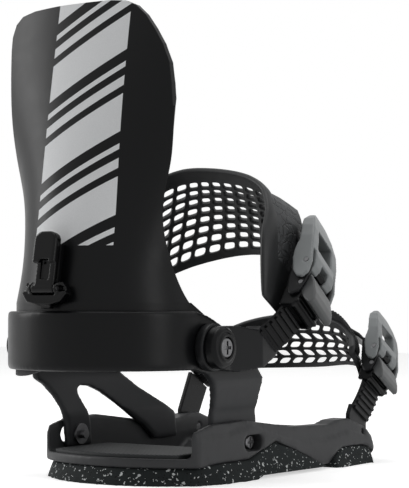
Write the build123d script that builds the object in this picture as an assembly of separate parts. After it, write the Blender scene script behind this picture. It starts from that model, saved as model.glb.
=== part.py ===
from build123d import *
from math import asin, atan2, cos, degrees, hypot, radians, sin, tan
import os

# Strap binding for the right foot on a snowboard. Millimetres, +Z up.
# Origin: centre of the mounting disc, on the board's top face.
# +X points to the outer side of the foot, +Y to the toe.

# ---------- driving sizes ----------
RUN = 0.05                # radial running fit of turning parts
GAP = 0.3                 # clearance between pieces that move past each other
BOLT_PLAY = 0.1           # radial clearance of a bolt in a fixed hole

HEEL_Y = -130             # rear end of the base, on the centre line
HEEL_CORNER_Y = -108      # rear corners: the heel end is bowed
TOE_Y = 112               # front end of the base
HEEL_HALF_W = 61.4
TOE_HALF_W = 75.6
BASE_CORNER_R = 13
HEEL_CORNER_R = 5
FOAM_TAPER = 20           # degrees: the foam spreads towards the board
WEB_X = 57                # inner face of the side rails
WEB_T = 3                 # wall behind the foam flanks
PANEL_T = 1.2             # raised lower panel on each rail
LIP_T = 3                 # rim around the heel end
LIP_H = 2

HEEL_FLOOR_Z = 11         # underside of the floor at the heel
MID_FLOOR_Z = 3
TOE_FLOOR_Z = 9
FLOOR_T = 4.5

DISC_R = 50
DISC_HUB_R = 45
DISC_FLANGE_T = 3.2
DISC_LIP = 1              # flange over the hub
DISC_HUB_T = 6
DISC_BOTTOM = 0
BOLT_PITCH = 40           # four holes, 40 x 40
BOLT_HOLE_R = 3.2
BOLT_SLOT_L = 12

FOOTBED_T = 4
FOOTBED_HALF_W = 49
RAMP_Y0 = 60
RAMP_Y1 = 118
RAMP_T = 4
RAMP_SIDE_GAP = 3         # ramp to side rail
RAMP_TRAVEL = 8
RAMP_SCREW_X = 30
RAMP_SCREW_Y = 84
RAMP_SCREW_R = 2.5
RAMP_HEAD_R = 5

PIVOT_Y = -106            # ankle strap and highback pivot
PIVOT_Z = 87
BOLT_R = 4

CUP_CENTRE_Y = -118
CUP_R = 66
CUP_WALL = 5
CUP_Z0 = 73
CUP_Z1 = 110
LEG_T = 5
LEG_GAP = 0.3             # leg to rail
CUP_SCREW_R = 3
CUP_HEAD_R = 4.8
SLOT_R = 5.2
RIGHT_SCREW_Y = -45
RIGHT_SCREW_Z = 23.5
LEFT_SCREW_Y = -84
LEFT_SCREW_Z = 27
CUP_SLIDE_BACK = 8
CUP_SLIDE_FORE = 2

LINER_T = 3
LINER_Z0 = 68
LINER_Z1 = 88
LINER_HALF_ANGLE = 70

HIGHBACK_T = 4
HIGHBACK_LEAN = 10        # degrees from upright
HIGHBACK_Z0 = 90
HIGHBACK_BEND_Z = 115     # above this the shell leans forward
HIGHBACK_TOP = 306
LINING_T = 4              # soft lining of the highback

LEAN_Z = 122              # middle of the lean block
LEAN_BLOCK_W = 34
LEAN_BLOCK_H = 13
LEAN_BLOCK_D = 7
LEAN_RACK_W = 9
LEAN_STEM_W = 8
LEAN_STEM_LOW = -11.5
LEAN_RACK_T = 2
LEAN_LEVER_W = 17
LEAN_LEVER_L = 35
LEAN_HEAD_T = 5
LEAN_PIN_R = 1.5

LUG_T = 6                 # strap connector at the pivot
LUG_R = 15
LEFT_LUG_EXTRA = 8        # the inner side's lug is thicker
CAP_R = 13.4
CAP_T = 8
HEAD_R = 6.5
HEAD_T = 3

STRAP_W = 25              # ladder width
LADDER_T = 1.8
TOOTH_H = 1.6
TOOTH_PITCH = 4.2
TOOTH_L = 1.9
SHELL_T = 4.5             # strap pads

EAR_T = 2.5
LEVER_SIDE_GAP = 0.3
EAR_INSET = 1.6           # ladder edge to buckle ear
CHEEK_T = 2.5             # lever arms outside the ears
BUCKLE_FLOOR_T = 1.8
BUCKLE_PIN_R = 1.6
PAWL_HALF_W = 5
SPRING_HALF_W = 4
SPRING_T = 1
BARREL_R = 4              # knuckles of the strap hinges
BARREL_PIN_R = 1.8
KNUCKLE_HALF_W = 6        # middle knuckle

TOE_ROOT_X = 67           # toe ladders in their rail pockets
TOE_ROOT_Z = 30
TOE_RIGHT_Y = 89
TOE_LEFT_Y = 70
TOE_TAIL_T = 3.2
TOE_PIN_R = 2.2
POCKET_PLAY = 0.3

os.makedirs("parts", exist_ok=True)
CUP_IN_R = CUP_R - CUP_WALL
LEG_X = WEB_X - LEG_GAP   # outer face of the heelcup legs
HIGHBACK_R = CUP_IN_R - GAP
FAR = TOE_HALF_W + 12
RAMP_HALF_W = WEB_X - RAMP_SIDE_GAP


# ---------- small helpers ----------
def save(name, *shapes):
    """Write one sub-part to its own file."""
    solids = [solid for shape in shapes for solid in shape.solids()]
    whole = solids[0] if len(solids) == 1 else Compound(children=solids)
    whole.label = name
    export_step(whole, f"parts/{name}.step")


def box(x0, x1, y0, y1, z0, z1):
    """Box between two corners."""
    return Pos((x0 + x1) / 2, (y0 + y1) / 2, (z0 + z1) / 2) * Box(x1 - x0, y1 - y0, z1 - z0)


def side_prism(points, x0, x1):
    """Solid with a (y, z) outline that runs along X."""
    face = make_face(Polyline([Vector(x0, y, z) for y, z in points], close=True))
    return extrude(face, amount=x1 - x0, dir=(1, 0, 0))


def plan_prism(points, z0, z1):
    """Solid with an (x, y) outline between two heights."""
    face = make_face(Polyline([Vector(x, y, z0) for x, y in points], close=True))
    return extrude(face, amount=z1 - z0, dir=(0, 0, 1))


def front_prism(points, y0, y1):
    """Solid with an (x, z) outline that runs along Y."""
    face = make_face(Polyline([Vector(x, y0, z) for x, z in points], close=True))
    return extrude(face, amount=y1 - y0, dir=(0, 1, 0))


def rod_x(radius, x0, x1, y, z):
    """Round bar along X."""
    return Pos((x0 + x1) / 2, y, z) * Rot(0, 90, 0) * Cylinder(radius, abs(x1 - x0))


def rod_z(radius, x, y, z0, z1):
    """Round bar along Z."""
    return Pos(x, y, (z0 + z1) / 2) * Cylinder(radius, z1 - z0)


def slot_x(radius, y0, y1, z, x0, x1):
    """Slot along Y, cut through in X."""
    bar = box(x0, x1, y0, y1, z - radius, z + radius)
    return bar + rod_x(radius, x0, x1, y0, z) + rod_x(radius, x0, x1, y1, z)


def mirror_x(shape):
    return mirror(shape, about=Plane.YZ)


def cross_head(radius, height, depth):
    """Screw head on the XY plane with a cross recess in its top."""
    head = Pos(0, 0, height / 2) * Cylinder(radius, height)
    head = chamfer(head.edges().filter_by(GeomType.CIRCLE).sort_by(Axis.Z)[-1:], height / 4)
    arm = Pos(0, 0, height) * Box(radius * 1.3, radius * 0.3, depth * 2)
    return head - arm - Rot(0, 0, 90) * arm


# ---------- base ----------
def footprint(inset, z0, z1):
    """Plan shape of the base with rounded corners."""
    rear = HEEL_HALF_W - inset
    front = TOE_HALF_W - inset
    corners = [Vector(rear, HEEL_CORNER_Y, z0), Vector(front, TOE_Y - inset, z0), Vector(-front, TOE_Y - inset, z0),
               Vector(-rear, HEEL_CORNER_Y, z0)]
    sides = Polyline(*corners)
    bow = ThreePointArc(corners[3], Vector(0, HEEL_Y + inset, z0), corners[0])
    block = extrude(make_face([sides, bow]), amount=z1 - z0, dir=(0, 0, 1))
    uprights = block.edges().filter_by(Axis.Z).sort_by(Axis.Y)
    block = fillet(uprights[:2], HEEL_CORNER_R)
    uprights = block.edges().filter_by(Axis.Z).sort_by(Axis.Y)
    return fillet(uprights[-2:], BASE_CORNER_R - inset)


def foam_outline(z1):
    """The foam's plan on the board, narrowing upwards."""
    right = [(62, -106), (69, -88), (71, -63), (75.5, 20), (78, 96), (70, TOE_Y - 1)]
    corners = [Vector(x, y) for x, y in right] + [Vector(-x, y) for x, y in right[::-1]]
    bow = ThreePointArc(corners[-1], Vector(0, HEEL_Y - 3.5), corners[0])
    return extrude(make_face([Polyline(*corners), bow]), amount=z1, dir=(0, 0, 1), taper=FOAM_TAPER)


RAIL_TOP = [(HEEL_Y, 30), (-110, 33.5), (-92, 37.5), (-56, 38.5), (-44, 37), (0, 31.5), (43, 30.5), (55, 33), (70, 33.5),
            (91, 27), (101, 19.5), (TOE_Y, 8)]
RAIL_BOTTOM = [(HEEL_Y, HEEL_FLOOR_Z), (-110, 12), (-55, 12.7), (-22.5, 23), (0, 15.6), (32, 3.2), (42, 3.2), (59, 13.3), (87, 13.7),
               (106, 9), (TOE_Y, 3)]
PANEL_TOP = [(HEEL_Y, 30), (-76, 29.5), (-50, 34.8), (-30, 28.7), (8, 19.8), (40, 19.4), (70, 24), (96, 20),
             (TOE_Y, 6)]
FLOOR_LOW = [(HEEL_Y, HEEL_FLOOR_Z), (-54, HEEL_FLOOR_Z), (-46, MID_FLOOR_Z), (42, MID_FLOOR_Z), (52, TOE_FLOOR_Z),
             (TOE_Y - 4, TOE_FLOOR_Z)]
FOAM_LOW_REAR = [(HEEL_Y - 5, 0), (-51, 0), (-45, 2), (34, 1.8)]
FOAM_LOW_FRONT = [(40, 1.8), (46, 0), (104, 0), (TOE_Y, 2.6)]


def height_at(points, y):
    """Height of a (y, z) line at y."""
    for (y0, z0), (y1, z1) in zip(points, points[1:]):
        if y0 <= y <= y1:
            return z0 + (z1 - z0) * (y - y0) / (y1 - y0)
    return points[-1][1]


def baseplate():
    inner = WEB_X + WEB_T
    skin = side_prism(RAIL_TOP + RAIL_BOTTOM[::-1], -FAR, FAR) & footprint(PANEL_T, 0, 60)
    panel = side_prism(PANEL_TOP + RAIL_BOTTOM[::-1], -FAR, FAR) & footprint(0, 0, 60)
    skin = skin + panel
    skin -= box(-WEB_X, WEB_X, HEEL_Y - 5, TOE_Y + 5, -1, 60)
    web_low = FLOOR_LOW[:-1] + [(TOE_Y, TOE_FLOOR_Z)]
    web_top = [point for point in RAIL_TOP if point[0] < TOE_Y] + [(TOE_Y, TOE_FLOOR_Z + 1)]
    web = side_prism(web_top + web_low[::-1], -inner, inner) & footprint(PANEL_T, 0, 60)
    web -= box(-WEB_X, WEB_X, HEEL_Y - 5, TOE_Y + 5, -1, 60)
    floor_top = [(y, z + FLOOR_T) for y, z in FLOOR_LOW]
    floor = side_prism(floor_top + FLOOR_LOW[::-1], -WEB_X, WEB_X) & footprint(PANEL_T, 0, 60)
    lip_top = HEEL_FLOOR_Z + FLOOR_T + LIP_H
    lip = footprint(0, HEEL_FLOOR_Z, lip_top) - footprint(LIP_T, 0, 60)
    lip &= box(-FAR, FAR, HEEL_Y - 1, HEEL_CORNER_Y + 8, 0, 60)
    base = skin + web + floor + lip
    base -= rod_z(DISC_HUB_R + RUN, 0, 0, -1, 60)
    base -= rod_z(DISC_R + RUN, 0, 0, DISC_BOTTOM + DISC_HUB_T, 60)
    side = WEB_X - 1
    base -= slot_x(SLOT_R, RIGHT_SCREW_Y - CUP_SLIDE_BACK, RIGHT_SCREW_Y + CUP_SLIDE_FORE, RIGHT_SCREW_Z, side, FAR)
    base -= slot_x(SLOT_R, LEFT_SCREW_Y - CUP_SLIDE_BACK, LEFT_SCREW_Y + CUP_SLIDE_FORE, LEFT_SCREW_Z, -FAR, -side)
    for x in (-RAMP_SCREW_X, RAMP_SCREW_X):
        base -= rod_z(RAMP_SCREW_R, x, RAMP_SCREW_Y, TOE_FLOOR_Z - 1, TOE_FLOOR_Z + FLOOR_T + 1)
    for side, y in ((1, TOE_RIGHT_Y), (-1, TOE_LEFT_Y)):
        base -= toe_pocket(side, y)
    return base


def foam_block(low, y0, y1, top):
    """Foam under the base between two stations: floor zone and flanks."""
    line = [(y0, height_at(low, y0))] + [p for p in low if y0 < p[0] < y1] + [(y1, height_at(low, y1))]
    flank_top = [p for p in RAIL_BOTTOM if y0 < p[0] < y1]
    flank_top = [(y0, height_at(RAIL_BOTTOM, y0))] + flank_top + [(y1, height_at(RAIL_BOTTOM, y1))]
    flank = side_prism(line + flank_top[::-1], -FAR, FAR) & foam_outline(40)
    flank -= box(-WEB_X - WEB_T, WEB_X + WEB_T, HEEL_Y - 9, TOE_Y + 5, -1, 60)
    low_block = side_prism(line + [(y1, top), (y0, top)], -FAR, FAR) & foam_outline(40)
    return flank, low_block


def heel_underpad():
    flank, block = foam_block(FOAM_LOW_REAR, HEEL_Y - 4, 34, HEEL_FLOOR_Z)
    heel = block & box(-FAR, FAR, HEEL_Y - 4, -54, -1, HEEL_FLOOR_Z)
    strip = block & box(-FAR, FAR, -54, 34, -1, MID_FLOOR_Z)
    strip -= box(-WEB_X + 6, WEB_X - 6, -46, 60, -1, 60)
    return (heel + strip + flank) - rod_z(DISC_HUB_R + 1, 0, 0, -1, 60)


def forefoot_underpad():
    flank, block = foam_block(FOAM_LOW_FRONT, 46, TOE_Y, MID_FLOOR_Z)
    toe = side_prism([(53, 0), (104, 0), (TOE_Y - 5, 2), (TOE_Y - 5, TOE_FLOOR_Z), (53, TOE_FLOOR_Z)], -FAR, FAR)
    toe = toe & foam_outline(40)
    toe -= side_prism(RAIL_TOP + RAIL_BOTTOM[::-1], -FAR, FAR)
    return toe + flank + (block & box(-FAR, FAR, 46, TOE_Y, -1, MID_FLOOR_Z))


def mounting_disc():
    disc = rod_z(DISC_HUB_R, 0, 0, DISC_BOTTOM, DISC_BOTTOM + DISC_HUB_T)
    disc += rod_z(DISC_R, 0, 0, DISC_BOTTOM + DISC_HUB_T, DISC_BOTTOM + DISC_HUB_T + DISC_FLANGE_T)
    disc -= rod_z(DISC_HUB_R - DISC_LIP, 0, 0, DISC_BOTTOM + DISC_HUB_T, 60)
    half = BOLT_PITCH / 2
    for x in (-half, half):
        for y in (-half, half):
            for dx in (-BOLT_SLOT_L / 2, BOLT_SLOT_L / 2):
                disc -= rod_z(BOLT_HOLE_R, x + dx, y, -1, 60)
            disc -= box(x - BOLT_SLOT_L / 2, x + BOLT_SLOT_L / 2, y - BOLT_HOLE_R, y + BOLT_HOLE_R, -1, 60)
    return disc


def heel_footbed():
    z0 = HEEL_FLOOR_Z + FLOOR_T
    pad = box(-FOOTBED_HALF_W, FOOTBED_HALF_W, HEEL_Y, -56, z0, z0 + FOOTBED_T)
    return pad & footprint(LIP_T + 0.5, 0, 60)


def toe_ramp():
    z0 = TOE_FLOOR_Z + FLOOR_T
    outline = [(RAMP_Y0, z0), (RAMP_Y1 - 3, z0), (RAMP_Y1, z0 + 3), (RAMP_Y1 - 1, z0 + 7), (RAMP_Y0, z0 + RAMP_T)]
    ramp = side_prism(outline, -RAMP_HALF_W, RAMP_HALF_W)
    ramp = fillet(ramp.edges().filter_by(Axis.X).sort_by(Axis.Y)[-2:], 1.5)
    for x in (-RAMP_SCREW_X, RAMP_SCREW_X):
        for y in (-RAMP_TRAVEL / 2, RAMP_TRAVEL / 2):
            ramp -= rod_z(RAMP_SCREW_R + GAP, x, RAMP_SCREW_Y + y, 0, 60)
            ramp -= rod_z(RAMP_HEAD_R + GAP, x, RAMP_SCREW_Y + y, z0 + RAMP_T - 1, 60)
        w = RAMP_SCREW_R + GAP
        ramp -= box(x - w, x + w, RAMP_SCREW_Y - RAMP_TRAVEL / 2, RAMP_SCREW_Y + RAMP_TRAVEL / 2, 0, 60)
        w = RAMP_HEAD_R + GAP
        ramp -= box(x - w, x + w, RAMP_SCREW_Y - RAMP_TRAVEL / 2, RAMP_SCREW_Y + RAMP_TRAVEL / 2, z0 + RAMP_T - 1, 60)
    return ramp


def toe_ramp_screws():
    """Two screws from above that hold the ramp on the toe floor."""
    seat = TOE_FLOOR_Z + FLOOR_T + RAMP_T - 1
    screws = []
    for x in (-RAMP_SCREW_X, RAMP_SCREW_X):
        head = Pos(x, RAMP_SCREW_Y, seat) * cross_head(RAMP_HEAD_R, 2.4, 1)
        screws.append(head + rod_z(RAMP_SCREW_R, x, RAMP_SCREW_Y, TOE_FLOOR_Z + 0.5, seat))
    return screws


def toe_footbed():
    """Soft pad glued on the ramp, with two windows for the screws."""
    z0 = TOE_FLOOR_Z + FLOOR_T + RAMP_T
    rise = 3 / (RAMP_Y1 - 1 - RAMP_Y0)
    y0, y1 = RAMP_Y0 + 2, RAMP_Y1 - 4
    outline = [(y0, z0 + 2 * rise), (y1, z0 + rise * (y1 - RAMP_Y0)), (y1, z0 + rise * (y1 - RAMP_Y0) + 3),
               (y0, z0 + 4)]
    pad = side_prism(outline, -RAMP_HALF_W + 2, RAMP_HALF_W - 2)
    for x in (-RAMP_SCREW_X, RAMP_SCREW_X):
        w = RAMP_HEAD_R + 2
        pad -= box(x - w, x + w, RAMP_SCREW_Y - RAMP_TRAVEL / 2 - w, RAMP_SCREW_Y + RAMP_TRAVEL / 2 + w, 0, 60)
    return pad


# ---------- heelcup ----------
RIGHT_LEG = [(CUP_CENTRE_Y, CUP_Z0), (CUP_CENTRE_Y, CUP_Z1), (-104, 107), (-88, 101), (-68, 90), (-50, 78), (-38, 66),
             (-34, 52), (-32, 38), (-31, 18.5), (-83, 18.5), (-85, 36), (-87, 48), (-92, 58), (-98, 65), (-104, 70)]
LEFT_LEG = [(CUP_CENTRE_Y, 65), (CUP_CENTRE_Y, CUP_Z1), (-104, 107), (-85, 97), (-60, 84.5), (-24.5, 67), (-9, 56.5),
            (31, 36.5), (34, 18), (6, 18), (-8, 28.4), (-14.5, 31.3), (-37, 43.6), (-52.5, 53.7), (-64, 58.3), (-74, 59),
            (-78.5, 56.5), (-79, 52.5), (-75.5, 45.5), (-71, 36.5), (-69, 18.5), (-95, 18.5), (-97.4, 37.7),
            (-100.5, 44.6), (-104, 52.5), (-111, 61)]


def leg_wall():
    """Front view of the right arm and leg: it steps inwards to pass inside the rail."""
    return [(CUP_IN_R, CUP_Z1 + 1), (CUP_R, CUP_Z1 + 1), (CUP_R, 65), (LEG_X, 44), (LEG_X, 10), (LEG_X - LEG_T, 10),
            (LEG_X - LEG_T, 41), (CUP_IN_R, 66)]


def half_ring(outer, inner, z0, z1):
    """Rear half of a ring about the heel's centre."""
    ring = rod_z(outer, 0, CUP_CENTRE_Y, z0, z1) - rod_z(inner, 0, CUP_CENTRE_Y, z0 - 1, z1 + 1)
    return ring & box(-outer - 1, outer + 1, CUP_CENTRE_Y - outer - 1, CUP_CENTRE_Y, z0 - 1, z1 + 1)


def heelcup():
    hoop = half_ring(CUP_R, CUP_IN_R, CUP_Z0, CUP_Z1)
    rims = hoop.edges().filter_by(GeomType.CIRCLE).filter_by(lambda e: abs(e.radius - CUP_R) < 0.01)
    hoop = fillet(rims, 2)
    right = side_prism(RIGHT_LEG, 0, FAR) & front_prism(leg_wall(), CUP_CENTRE_Y, 60)
    left = side_prism(LEFT_LEG, -FAR, 0) & front_prism([(-x, z) for x, z in leg_wall()], CUP_CENTRE_Y, 60)
    cup = hoop + right + left
    for sign, y, z in ((1, RIGHT_SCREW_Y, RIGHT_SCREW_Z), (-1, LEFT_SCREW_Y, LEFT_SCREW_Z)):
        cup -= rod_x(BOLT_R + BOLT_PLAY, sign * 50, sign * FAR, PIVOT_Y, PIVOT_Z)
        cup -= rod_x(CUP_SCREW_R + BOLT_PLAY, sign * 48, sign * FAR, y, z)
    return cup


def heelcup_liner():
    liner = half_ring(CUP_IN_R, CUP_IN_R - LINER_T, LINER_Z0, LINER_Z1)
    reach = CUP_IN_R * cos(radians(LINER_HALF_ANGLE))
    return liner & box(-CUP_R, CUP_R, CUP_CENTRE_Y - CUP_R, CUP_CENTRE_Y - reach, 0, CUP_Z1)


def heelcup_screws():
    """One screw per side through the rail's slot into the leg."""
    screws = []
    for sign, y, z in ((1, RIGHT_SCREW_Y, RIGHT_SCREW_Z), (-1, LEFT_SCREW_Y, LEFT_SCREW_Z)):
        head = Rot(0, 90, 0) * cross_head(CUP_HEAD_R, 3, 1.2) + Rot(0, 90, 0) * Pos(0, 0, -5.5) * Cylinder(CUP_SCREW_R, 11)
        head = Pos(LEG_X + GAP, y, z) * head
        screws.append(head if sign > 0 else mirror_x(head))
    return screws


def heelcup_nuts():
    """Round flanged nuts on the inner face of the legs."""
    nuts = []
    for sign, y, z in ((1, RIGHT_SCREW_Y, RIGHT_SCREW_Z), (-1, LEFT_SCREW_Y, LEFT_SCREW_Z)):
        x = LEG_X - LEG_T
        nut = rod_x(7, x - 2, x, y, z) - rod_x(CUP_SCREW_R + RUN, x - 3, x + 1, y, z)
        nuts.append(nut if sign > 0 else mirror_x(nut))
    return nuts


# ---------- highback ----------
# half width and depth of the shell's bow, at even steps of height from the bend
SHELL_STEP = 16
SHELL_BOWS = [(HIGHBACK_R, HIGHBACK_R), (57, 49), (55, 40), (54.3, 33), (55.5, 29), (59, 26.5), (62.3, 23),
              (64.3, 19), (65.8, 16), (67, 14), (68, 12.5), (68.8, 11.5), (69.3, 11)]
SHELL_SECTIONS = [(HIGHBACK_BEND_Z + i * SHELL_STEP, half, depth) for i, (half, depth) in enumerate(SHELL_BOWS)]
HIGHBACK_SIDE = [(-190, HIGHBACK_Z0), (-190, HIGHBACK_BEND_Z), (-116, HIGHBACK_BEND_Z), (-103, 108.5), (-93, 103),
                 (-90, 92), (-96, 80), (-108, 76), (-122, 83), (-132, HIGHBACK_Z0)]
HIGHBACK_FRONT = [(-80, 60), (80, 60), (80, 236), (64, 236), (63.2, 250), (61.5, 263), (56.8, 275), (50.8, 285.2),
                  (44.3, 294.2), (37.2, 300.8), (29.5, 304.2), (18, HIGHBACK_TOP - 0.5), (-25, HIGHBACK_TOP),
                  (-46, HIGHBACK_TOP - 0.5), (-58.5, 303.6), (-65, 299), (-68.2, 291), (-68.6, 270), (-80, 270)]


def back_y(z):
    """Rear face of the highback on its centre line."""
    rise = max(0, z - HIGHBACK_BEND_Z)
    return CUP_CENTRE_Y - HIGHBACK_R + rise * tan(radians(HIGHBACK_LEAN))


def bow_section(z, half, depth, t0, t1):
    """Horizontal section of the bowed shell between two depths below its rear face."""
    radius = (half * half + depth * depth) / (2 * depth)
    centre_y = back_y(z) + radius
    reach = atan2(half, radius - depth)
    edges = []
    arcs = []
    for offset in (t0, t1):
        r = radius - offset
        ends = [Vector(r * sin(a), centre_y - r * cos(a), z) for a in (-reach, 0, reach)]
        arcs.append(ThreePointArc(*ends))
    edges = [arcs[0], Line(arcs[0] @ 1, arcs[1] @ 1), arcs[1], Line(arcs[1] @ 0, arcs[0] @ 0)]
    return make_face(edges)


def highback():
    shell = loft([bow_section(z, half, depth, 0, HIGHBACK_T) for z, half, depth in SHELL_SECTIONS])
    shell &= front_prism(HIGHBACK_FRONT, -220, -60)
    inner = HIGHBACK_R - HIGHBACK_T
    band = half_ring(HIGHBACK_R, inner, 70, HIGHBACK_BEND_Z)
    for sign in (-1, 1):
        x0, x1 = sorted((sign * inner, sign * HIGHBACK_R))
        band += box(x0, x1, CUP_CENTRE_Y, -80, 70, HIGHBACK_BEND_Z)
    band &= side_prism(HIGHBACK_SIDE, -FAR, FAR)
    return (shell + band) - rod_x(BOLT_R + RUN, -FAR, FAR, PIVOT_Y, PIVOT_Z)


def highback_lining():
    """Soft pad inside the highback."""
    rows = [(z, half - 14, depth * ((half - 14) / half) ** 2) for z, half, depth in SHELL_SECTIONS[1:9]]
    return loft([bow_section(z, half, depth, HIGHBACK_T, HIGHBACK_T + LINING_T) for z, half, depth in rows])


def pivot_bolts():
    """Cross-head bolt on each side: it holds the strap, the heelcup and the highback."""
    bolts = []
    for extra in (0, LEFT_LUG_EXTRA):
        start = CUP_R + GAP + LUG_T + extra + GAP + CAP_T - HEAD_T
        bolt = Pos(start, PIVOT_Y, PIVOT_Z) * Rot(0, 90, 0) * cross_head(HEAD_R, HEAD_T + 0.8, 1.6)
        bolts.append(bolt + rod_x(BOLT_R, HIGHBACK_R - HIGHBACK_T - 3, start, PIVOT_Y, PIVOT_Z))
    return [bolts[0], mirror_x(bolts[1])]


def pivot_nuts():
    """Flanged nuts inside the highback's wings."""
    x = HIGHBACK_R - HIGHBACK_T - GAP
    nut = rod_x(9, x - 2.4, x, PIVOT_Y, PIVOT_Z) - rod_x(BOLT_R + RUN, x - 6, x + 1, PIVOT_Y, PIVOT_Z)
    return [nut, mirror_x(nut)]


def pivot_caps():
    """Round cover washer under each bolt head, with a raised ring."""
    caps = []
    for extra in (0, LEFT_LUG_EXTRA):
        x = CUP_R + GAP + LUG_T + extra + GAP
        cap = Pos(x, PIVOT_Y, PIVOT_Z) * Rot(0, 90, 0) * Pos(0, 0, CAP_T / 2) * Cylinder(CAP_R, CAP_T)
        cap = chamfer(cap.edges().filter_by(GeomType.CIRCLE).sort_by(Axis.X)[-1:], 2)
        cap += rod_x(HEAD_R + 2.4, x, x + CAP_T + 1, PIVOT_Y, PIVOT_Z)
        cap -= rod_x(HEAD_R + GAP, x + CAP_T - HEAD_T, x + CAP_T + 5, PIVOT_Y, PIVOT_Z)
        cap -= rod_x(BOLT_R + BOLT_PLAY, x - 1, x + CAP_T + 5, PIVOT_Y, PIVOT_Z)
        caps.append(cap)
    return [caps[0], mirror_x(caps[1])]


# ---------- forward-lean adjuster, on the highback's rear face ----------
# Local frame: X along the width, Y up the leaning face, Z out to the rear.
LEAN_PLANE = Plane(origin=(0, back_y(LEAN_Z), LEAN_Z), x_dir=(1, 0, 0),
                   z_dir=(0, -cos(radians(HIGHBACK_LEAN)), sin(radians(HIGHBACK_LEAN))))
LEAN_PIN_H = LEAN_RACK_T + GAP + LEAN_BLOCK_D - 0.5
LEAN_BOSS_R = 3.2
LEAN_LOW = -8


def lean_rack():
    """Toothed strip on the highback that the block slides on."""
    rack = box(-LEAN_RACK_W / 2, LEAN_RACK_W / 2, LEAN_LOW, LEAN_LEVER_L - 6, -1.2, LEAN_RACK_T)
    for i in range(int((LEAN_LEVER_L - 6 - LEAN_LOW) / 4)):
        y = LEAN_LOW + 1 + i * 4
        rack -= box(-LEAN_RACK_W / 2 + 1.5, LEAN_RACK_W / 2 - 1.5, y, y + 2, LEAN_RACK_T - 0.8, LEAN_RACK_T + 1)
    return LEAN_PLANE * rack


def lean_block():
    """Block that rests on the heelcup's rim and stops the highback."""
    z0 = LEAN_RACK_T + GAP
    half = LEAN_BLOCK_W / 2
    outline = [(-half, -3), (-half + 3, 4), (half - 3, 4), (half, -3), (half - 4, -8), (5, -10), (-5, -10),
               (-half + 4, -8)]
    block = extrude(make_face(Polyline([Vector(x, y, z0) for x, y in outline], close=True)), amount=LEAN_BLOCK_D)
    block += box(-LEAN_STEM_W / 2, LEAN_STEM_W / 2, LEAN_STEM_LOW, -8, z0, z0 + 4)
    for sign in (-1, 1):
        ear = Pos(sign * (LEAN_LEVER_W / 2 + 1.3), 0, LEAN_PIN_H) * Rot(0, 90, 0) * Cylinder(LEAN_BOSS_R, 2)
        block += ear
    block -= Pos(0, 0, LEAN_PIN_H) * Rot(0, 90, 0) * Cylinder(LEAN_PIN_R + RUN, LEAN_BLOCK_W)
    clear = Pos(0, 0, LEAN_PIN_H) * Rot(0, 90, 0) * Cylinder(LEAN_BOSS_R + 2 * GAP, LEAN_LEVER_W + 2 * GAP)
    slot = LEAN_LEVER_W / 2 + GAP
    block -= box(-slot, slot, 0, 20, LEAN_PIN_H - 1 - GAP, 30)
    return LEAN_PLANE * (block - clear)


def lean_lever():
    """Flip lever that clamps the block: a neck with a broad, thick thumb head."""
    half = LEAN_LEVER_W / 2
    hub = Pos(0, 0, LEAN_PIN_H) * Rot(0, 90, 0) * Cylinder(LEAN_BOSS_R, LEAN_LEVER_W)
    neck = box(-half + 3, half, 0, LEAN_LEVER_L / 2, LEAN_PIN_H - 1, LEAN_PIN_H + 3)
    head = box(-half, half, LEAN_LEVER_L / 2 - 2, LEAN_LEVER_L, LEAN_PIN_H - 1, LEAN_PIN_H + LEAN_HEAD_T)
    head = fillet(head.edges().filter_by(Axis.Z).sort_by(Axis.Y)[-2:], 6)
    head = fillet(head.edges().filter_by(Axis.X).sort_by(Axis.Z)[-1:], 1.5)
    groove = box(-half + 6, half - 4, LEAN_BOSS_R + 2, LEAN_LEVER_L / 2, LEAN_PIN_H + 1, 30)
    bore = Pos(0, 0, LEAN_PIN_H) * Rot(0, 90, 0) * Cylinder(LEAN_PIN_R + RUN, LEAN_BLOCK_W)
    return LEAN_PLANE * (hub + neck + head - groove - bore)


def lean_pin():
    return LEAN_PLANE * Pos(0, 0, LEAN_PIN_H) * Rot(0, 90, 0) * Cylinder(LEAN_PIN_R, LEAN_LEVER_W + 4)


# ---------- straps ----------
HALF_STRAP = STRAP_W / 2
EAR_IN = HALF_STRAP + EAR_INSET
EAR_OUT = EAR_IN + EAR_T
LEVER_HALF = EAR_IN - LEVER_SIDE_GAP
CHEEK_IN = EAR_OUT + LEVER_SIDE_GAP
CHEEK_OUT = CHEEK_IN + CHEEK_T
TOOTH_TOP = LADDER_T + TOOTH_H


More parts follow.
